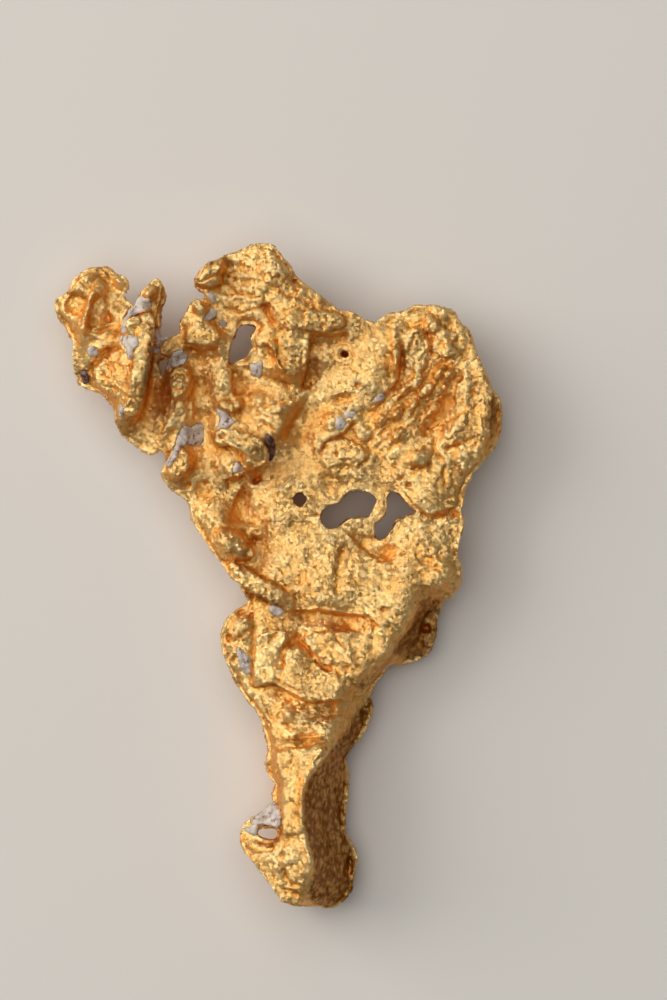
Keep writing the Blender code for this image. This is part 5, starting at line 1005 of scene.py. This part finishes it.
def make_gold_finish():
    """Native gold, finely hammered, with painted shade: pale on top, deeper orange in crevices and on
    steep sides, and dark on some listed sides.
    """
    made, tree, shader = new_material("native gold")
    where = add_node(tree, "ShaderNodeTexCoord").outputs["Object"]
    hollow = add_node(tree, "ShaderNodeAttribute", {"attribute_name": "hollow"})
    # Painted shade: the colour is pale on top and deeper orange down in crevices, where shade and the
    # gold's own reflections fall.
    crevice_shade = add_node(
        tree, "ShaderNodeValToRGB", links={"Fac": hollow.outputs["Fac"]},
        stops=[(0.3, "#FFE2A2"), (0.5, "#FED68E"), (0.7, "#F4C26E"), (0.95, "#DCA050")])
    # Broad patches where the gold has tarnished a little.
    patches = add_node(tree, "ShaderNodeTexNoise", {"Scale": 1 / (3.0 * MM), "Detail": 3.0},
                       {"Vector": where})
    patch_tone = add_node(tree, "ShaderNodeValToRGB", links={"Fac": patches.outputs["Fac"]},
                          stops=[(0.35, "#FFFFFF"), (0.7, "#F0DCC0")])
    multiply = {"data_type": "RGBA", "blend_type": "MULTIPLY"}
    colour = add_node(tree, "ShaderNodeMix", {**multiply, 0: 1.0},
                      {6: crevice_shade.outputs["Color"], 7: patch_tone.outputs["Color"]})
    # Painted shade: steep sides are made deeper in tone, as sides turned away from the light.
    normal = add_node(tree, "ShaderNodeTexCoord").outputs["Normal"]
    split = add_node(tree, "ShaderNodeSeparateXYZ", links={"Vector": normal})
    flatness = add_node(tree, "ShaderNodeMath", {"operation": "ABSOLUTE"}, {0: split.outputs["Z"]})
    steep = add_node(tree, "ShaderNodeMapRange", {"From Min": 0.85, "From Max": 0.3},
                     {"Value": flatness.outputs["Value"]})
    side = add_node(tree, "ShaderNodeMix", {**multiply, 7: linear("#F2D2A6")},
                    {0: steep.outputs["Result"], 6: colour.outputs[2]})
    # Painted shade: the listed sides and the pinhole are painted dark brown, with painted glints on the
    # grit.
    painted_shade_mask = add_node(tree, "ShaderNodeAttribute", {"attribute_name": "painted_shade"})
    painted_shade_colour = add_node(tree, "ShaderNodeMix", {"data_type": "RGBA", 7: linear("#945A1C")},
                      {0: painted_shade_mask.outputs["Fac"], 6: side.outputs[2]})
    tree.links.new(painted_shade_colour.outputs[2], shader.inputs["Base Color"])

    rub = add_node(tree, "ShaderNodeTexNoise", {"Scale": 1 / (0.9 * MM), "Detail": 4.0},
                   {"Vector": where})
    rubbed = {"From Min": 0.3, "From Max": 0.7, "To Min": 0.38, "To Max": 0.5}
    roughness = add_node(tree, "ShaderNodeMapRange", rubbed, {"Value": rub.outputs["Fac"]})
    tree.links.new(roughness.outputs["Result"], shader.inputs["Roughness"])

    grain = add_node(tree, "ShaderNodeTexNoise",
                     {"Scale": 1 / (0.16 * MM), "Detail": 3.0, "Roughness": 0.65}, {"Vector": where})
    bump = add_node(tree, "ShaderNodeBump", {"Strength": 1.0, "Distance": 0.08 * MM},
                    {"Height": grain.outputs["Fac"]})
    tree.links.new(add_chips(tree, where, bump).outputs["Normal"], shader.inputs["Normal"])
    shader.inputs["Metallic"].default_value = 1.0
    return made


def make_quartz_finish(name, pale, grey, stain, stain_from):
    """Milky quartz: dull and cloudy, with iron stain in its cracks."""
    made, tree, shader = new_material(name)
    where = add_node(tree, "ShaderNodeTexCoord").outputs["Object"]
    cloud = add_node(tree, "ShaderNodeTexNoise", {"Scale": 1 / (0.8 * MM), "Detail": 4.0},
                     {"Vector": where})
    milk = add_node(tree, "ShaderNodeValToRGB", links={"Fac": cloud.outputs["Fac"]},
                    stops=[(0.35, grey), (0.65, pale)])
    spots = add_node(tree, "ShaderNodeTexNoise",
                     {"Scale": 1 / (0.6 * MM), "Detail": 5.0, "Roughness": 0.7}, {"Vector": where})
    stained = add_node(tree, "ShaderNodeMapRange",
                       {"From Min": stain_from, "From Max": stain_from + 0.08},
                       {"Value": spots.outputs["Fac"]})
    colour = add_node(tree, "ShaderNodeMix", {"data_type": "RGBA", 7: linear(stain)},
                      {0: stained.outputs["Result"], 6: milk.outputs["Color"]})
    tree.links.new(colour.outputs[2], shader.inputs["Base Color"])
    cracks = add_node(tree, "ShaderNodeTexNoise", {"Scale": 1 / (0.2 * MM), "Detail": 5.0},
                      {"Vector": where})
    bump = add_node(tree, "ShaderNodeBump", {"Strength": 1.0, "Distance": 0.06 * MM},
                    {"Height": cracks.outputs["Fac"]})
    tree.links.new(bump.outputs["Normal"], shader.inputs["Normal"])
    looks = {"Roughness": 0.38, "IOR": 1.54, "Subsurface Weight": 0.15, "Subsurface Scale": 1.0,
             "Subsurface Radius": (0.4 * MM, 0.35 * MM, 0.3 * MM)}
    for socket, value in looks.items():
        shader.inputs[socket].default_value = value
    return made


def make_gold(finish):
    """The gold's skin: the solid remeshed, its rims raised, then the strokes and the small forms."""
    gold = copy_of_node("gold", "nugget_gold")
    remesh(gold, SKIN_CELL)
    apply_modifier(gold, "soften", "SMOOTH", factor=0.5, iterations=SKIN_SMOOTHING)
    points, normals = points_of(gold), normals_of(gold)
    points = points + RIM_LOSS * normals
    points[:, 2] += fill_funnel(points)
    put_points(gold, points)
    normals = normals_of(gold)
    for steps in RIM_STEPS:
        points[:, 2] += raise_rims(points, normals, edges_of(gold), steps)
        put_points(gold, points)
        normals = normals_of(gold)
    points[:, 2] += work_front(points, normals, edges_of(gold))
    put_points(gold, points)
    normals = normals_of(gold)
    height, painted_shade = work_texture(points, normals)
    put_points(gold, inside_box(points + height[:, None] * normals))
    # How hollow each place is, for the painted shade of crevices, and where sides get painted shade.
    keep_attribute(gold, "hollow", hollowness(gold))
    keep_attribute(gold, "painted_shade", painted_shade)
    triangles = 2 * len(gold.data.polygons)
    apply_modifier(gold, "thin", "DECIMATE", ratio=SKIN_TRIANGLES / triangles)
    activate(gold)
    bpy.ops.object.shade_smooth()
    gold.data.materials.clear()
    gold.data.materials.append(finish)
    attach(gold, "root")
    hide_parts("gold")


def make_quartz(node, finish):
    """A broken bit of quartz that fills its pocket to the gold."""
    bit = copy_of_node(node, node.replace("quartz", "rough_quartz"))
    remesh(bit, QUARTZ_CELL)
    points, normals = points_of(bit), normals_of(bit)
    near_lump, _ = cells_at(points, LUMP_SIZE, seed=2.5)
    rough = LUMP_HEIGHT * (LUMP_MIDDLE - near_lump)
    rough += UNEVEN_QUARTZ * noise_at(points, UNEVEN_QUARTZ_SIZE, octaves=3, seed=6.1)
    points = points + rough[:, None] * normals
    points[:, :2] += QUARTZ_GROWTH * normals[:, :2]
    points[:, 2] += QUARTZ_LIFTS.get(node, 0) - QUARTZ_SINK
    put_points(bit, inside_box(points))
    activate(bit)
    bpy.ops.object.shade_smooth_by_angle(angle=math.radians(QUARTZ_EDGE_ANGLE))
    bit.data.materials.clear()
    bit.data.materials.append(finish)
    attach(bit, "root")
    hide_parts(node)


def make_floor():
    bpy.ops.mesh.primitive_plane_add(size=FLOOR_SIZE, location=(0, 0, 0))
    floor = bpy.context.active_object
    floor.name = "floor"
    made, _, shader = new_material("pale floor")
    shader.inputs["Base Color"].default_value = linear("#E6E3DE")
    shader.inputs["Roughness"].default_value = 0.9
    floor.data.materials.append(made)


def add_light(name, place, size, power, colour):
    """A square soft light of a size in metres at a place in metres, aimed at the nugget."""
    bpy.ops.object.light_add(type="AREA", location=place)
    lamp = bpy.context.active_object
    lamp.name = name
    lamp.data.size = size
    lamp.data.energy = power
    lamp.data.color = linear(colour)[:3]
    lamp.rotation_euler = Vector(place).to_track_quat("Z", "Y").to_euler()


def make_lights():
    add_light("overhead", (-0.22, 0.2, 0.8), size=1.15, power=5.8, colour="#FFFBF6")
    add_light("left side", (-0.66, 0.26, 0.34), size=0.6, power=3.4, colour="#FFF9F2")
    world = bpy.data.worlds.new("studio")
    bpy.context.scene.world = world
    world.use_nodes = True
    background = world.node_tree.nodes["Background"]
    background.inputs["Color"].default_value = linear("#FFFFFF")
    background.inputs["Strength"].default_value = 0.1


def make_camera():
    """Straight above, looking down."""
    bpy.ops.object.camera_add(location=CAMERA_PLACE, rotation=(0, 0, 0))
    camera = bpy.context.active_object
    camera.data.lens = LENS
    camera.data.sensor_width = SENSOR
    camera.data.clip_start = 0.01
    bpy.context.scene.camera = camera
    bpy.context.scene.view_settings.view_transform = "Standard"


def main():
    make_gold(make_gold_finish())
    finishes = {
        "milky_quartz": make_quartz_finish("milky quartz", pale="#DDD3C8", grey="#B3A79E",
                                           stain="#80584A", stain_from=0.54),
        "stained_quartz": make_quartz_finish("iron-stained quartz", pale="#8C6A68", grey="#6A4644",
                                             stain="#3C1E1A", stain_from=0.45),
    }
    for row in frame["record"]["subparts"]:
        slot = row["material_slot"]
        if slot in finishes:
            make_quartz(row["node"], finishes[slot])
    make_floor()
    make_lights()
    make_camera()


main()
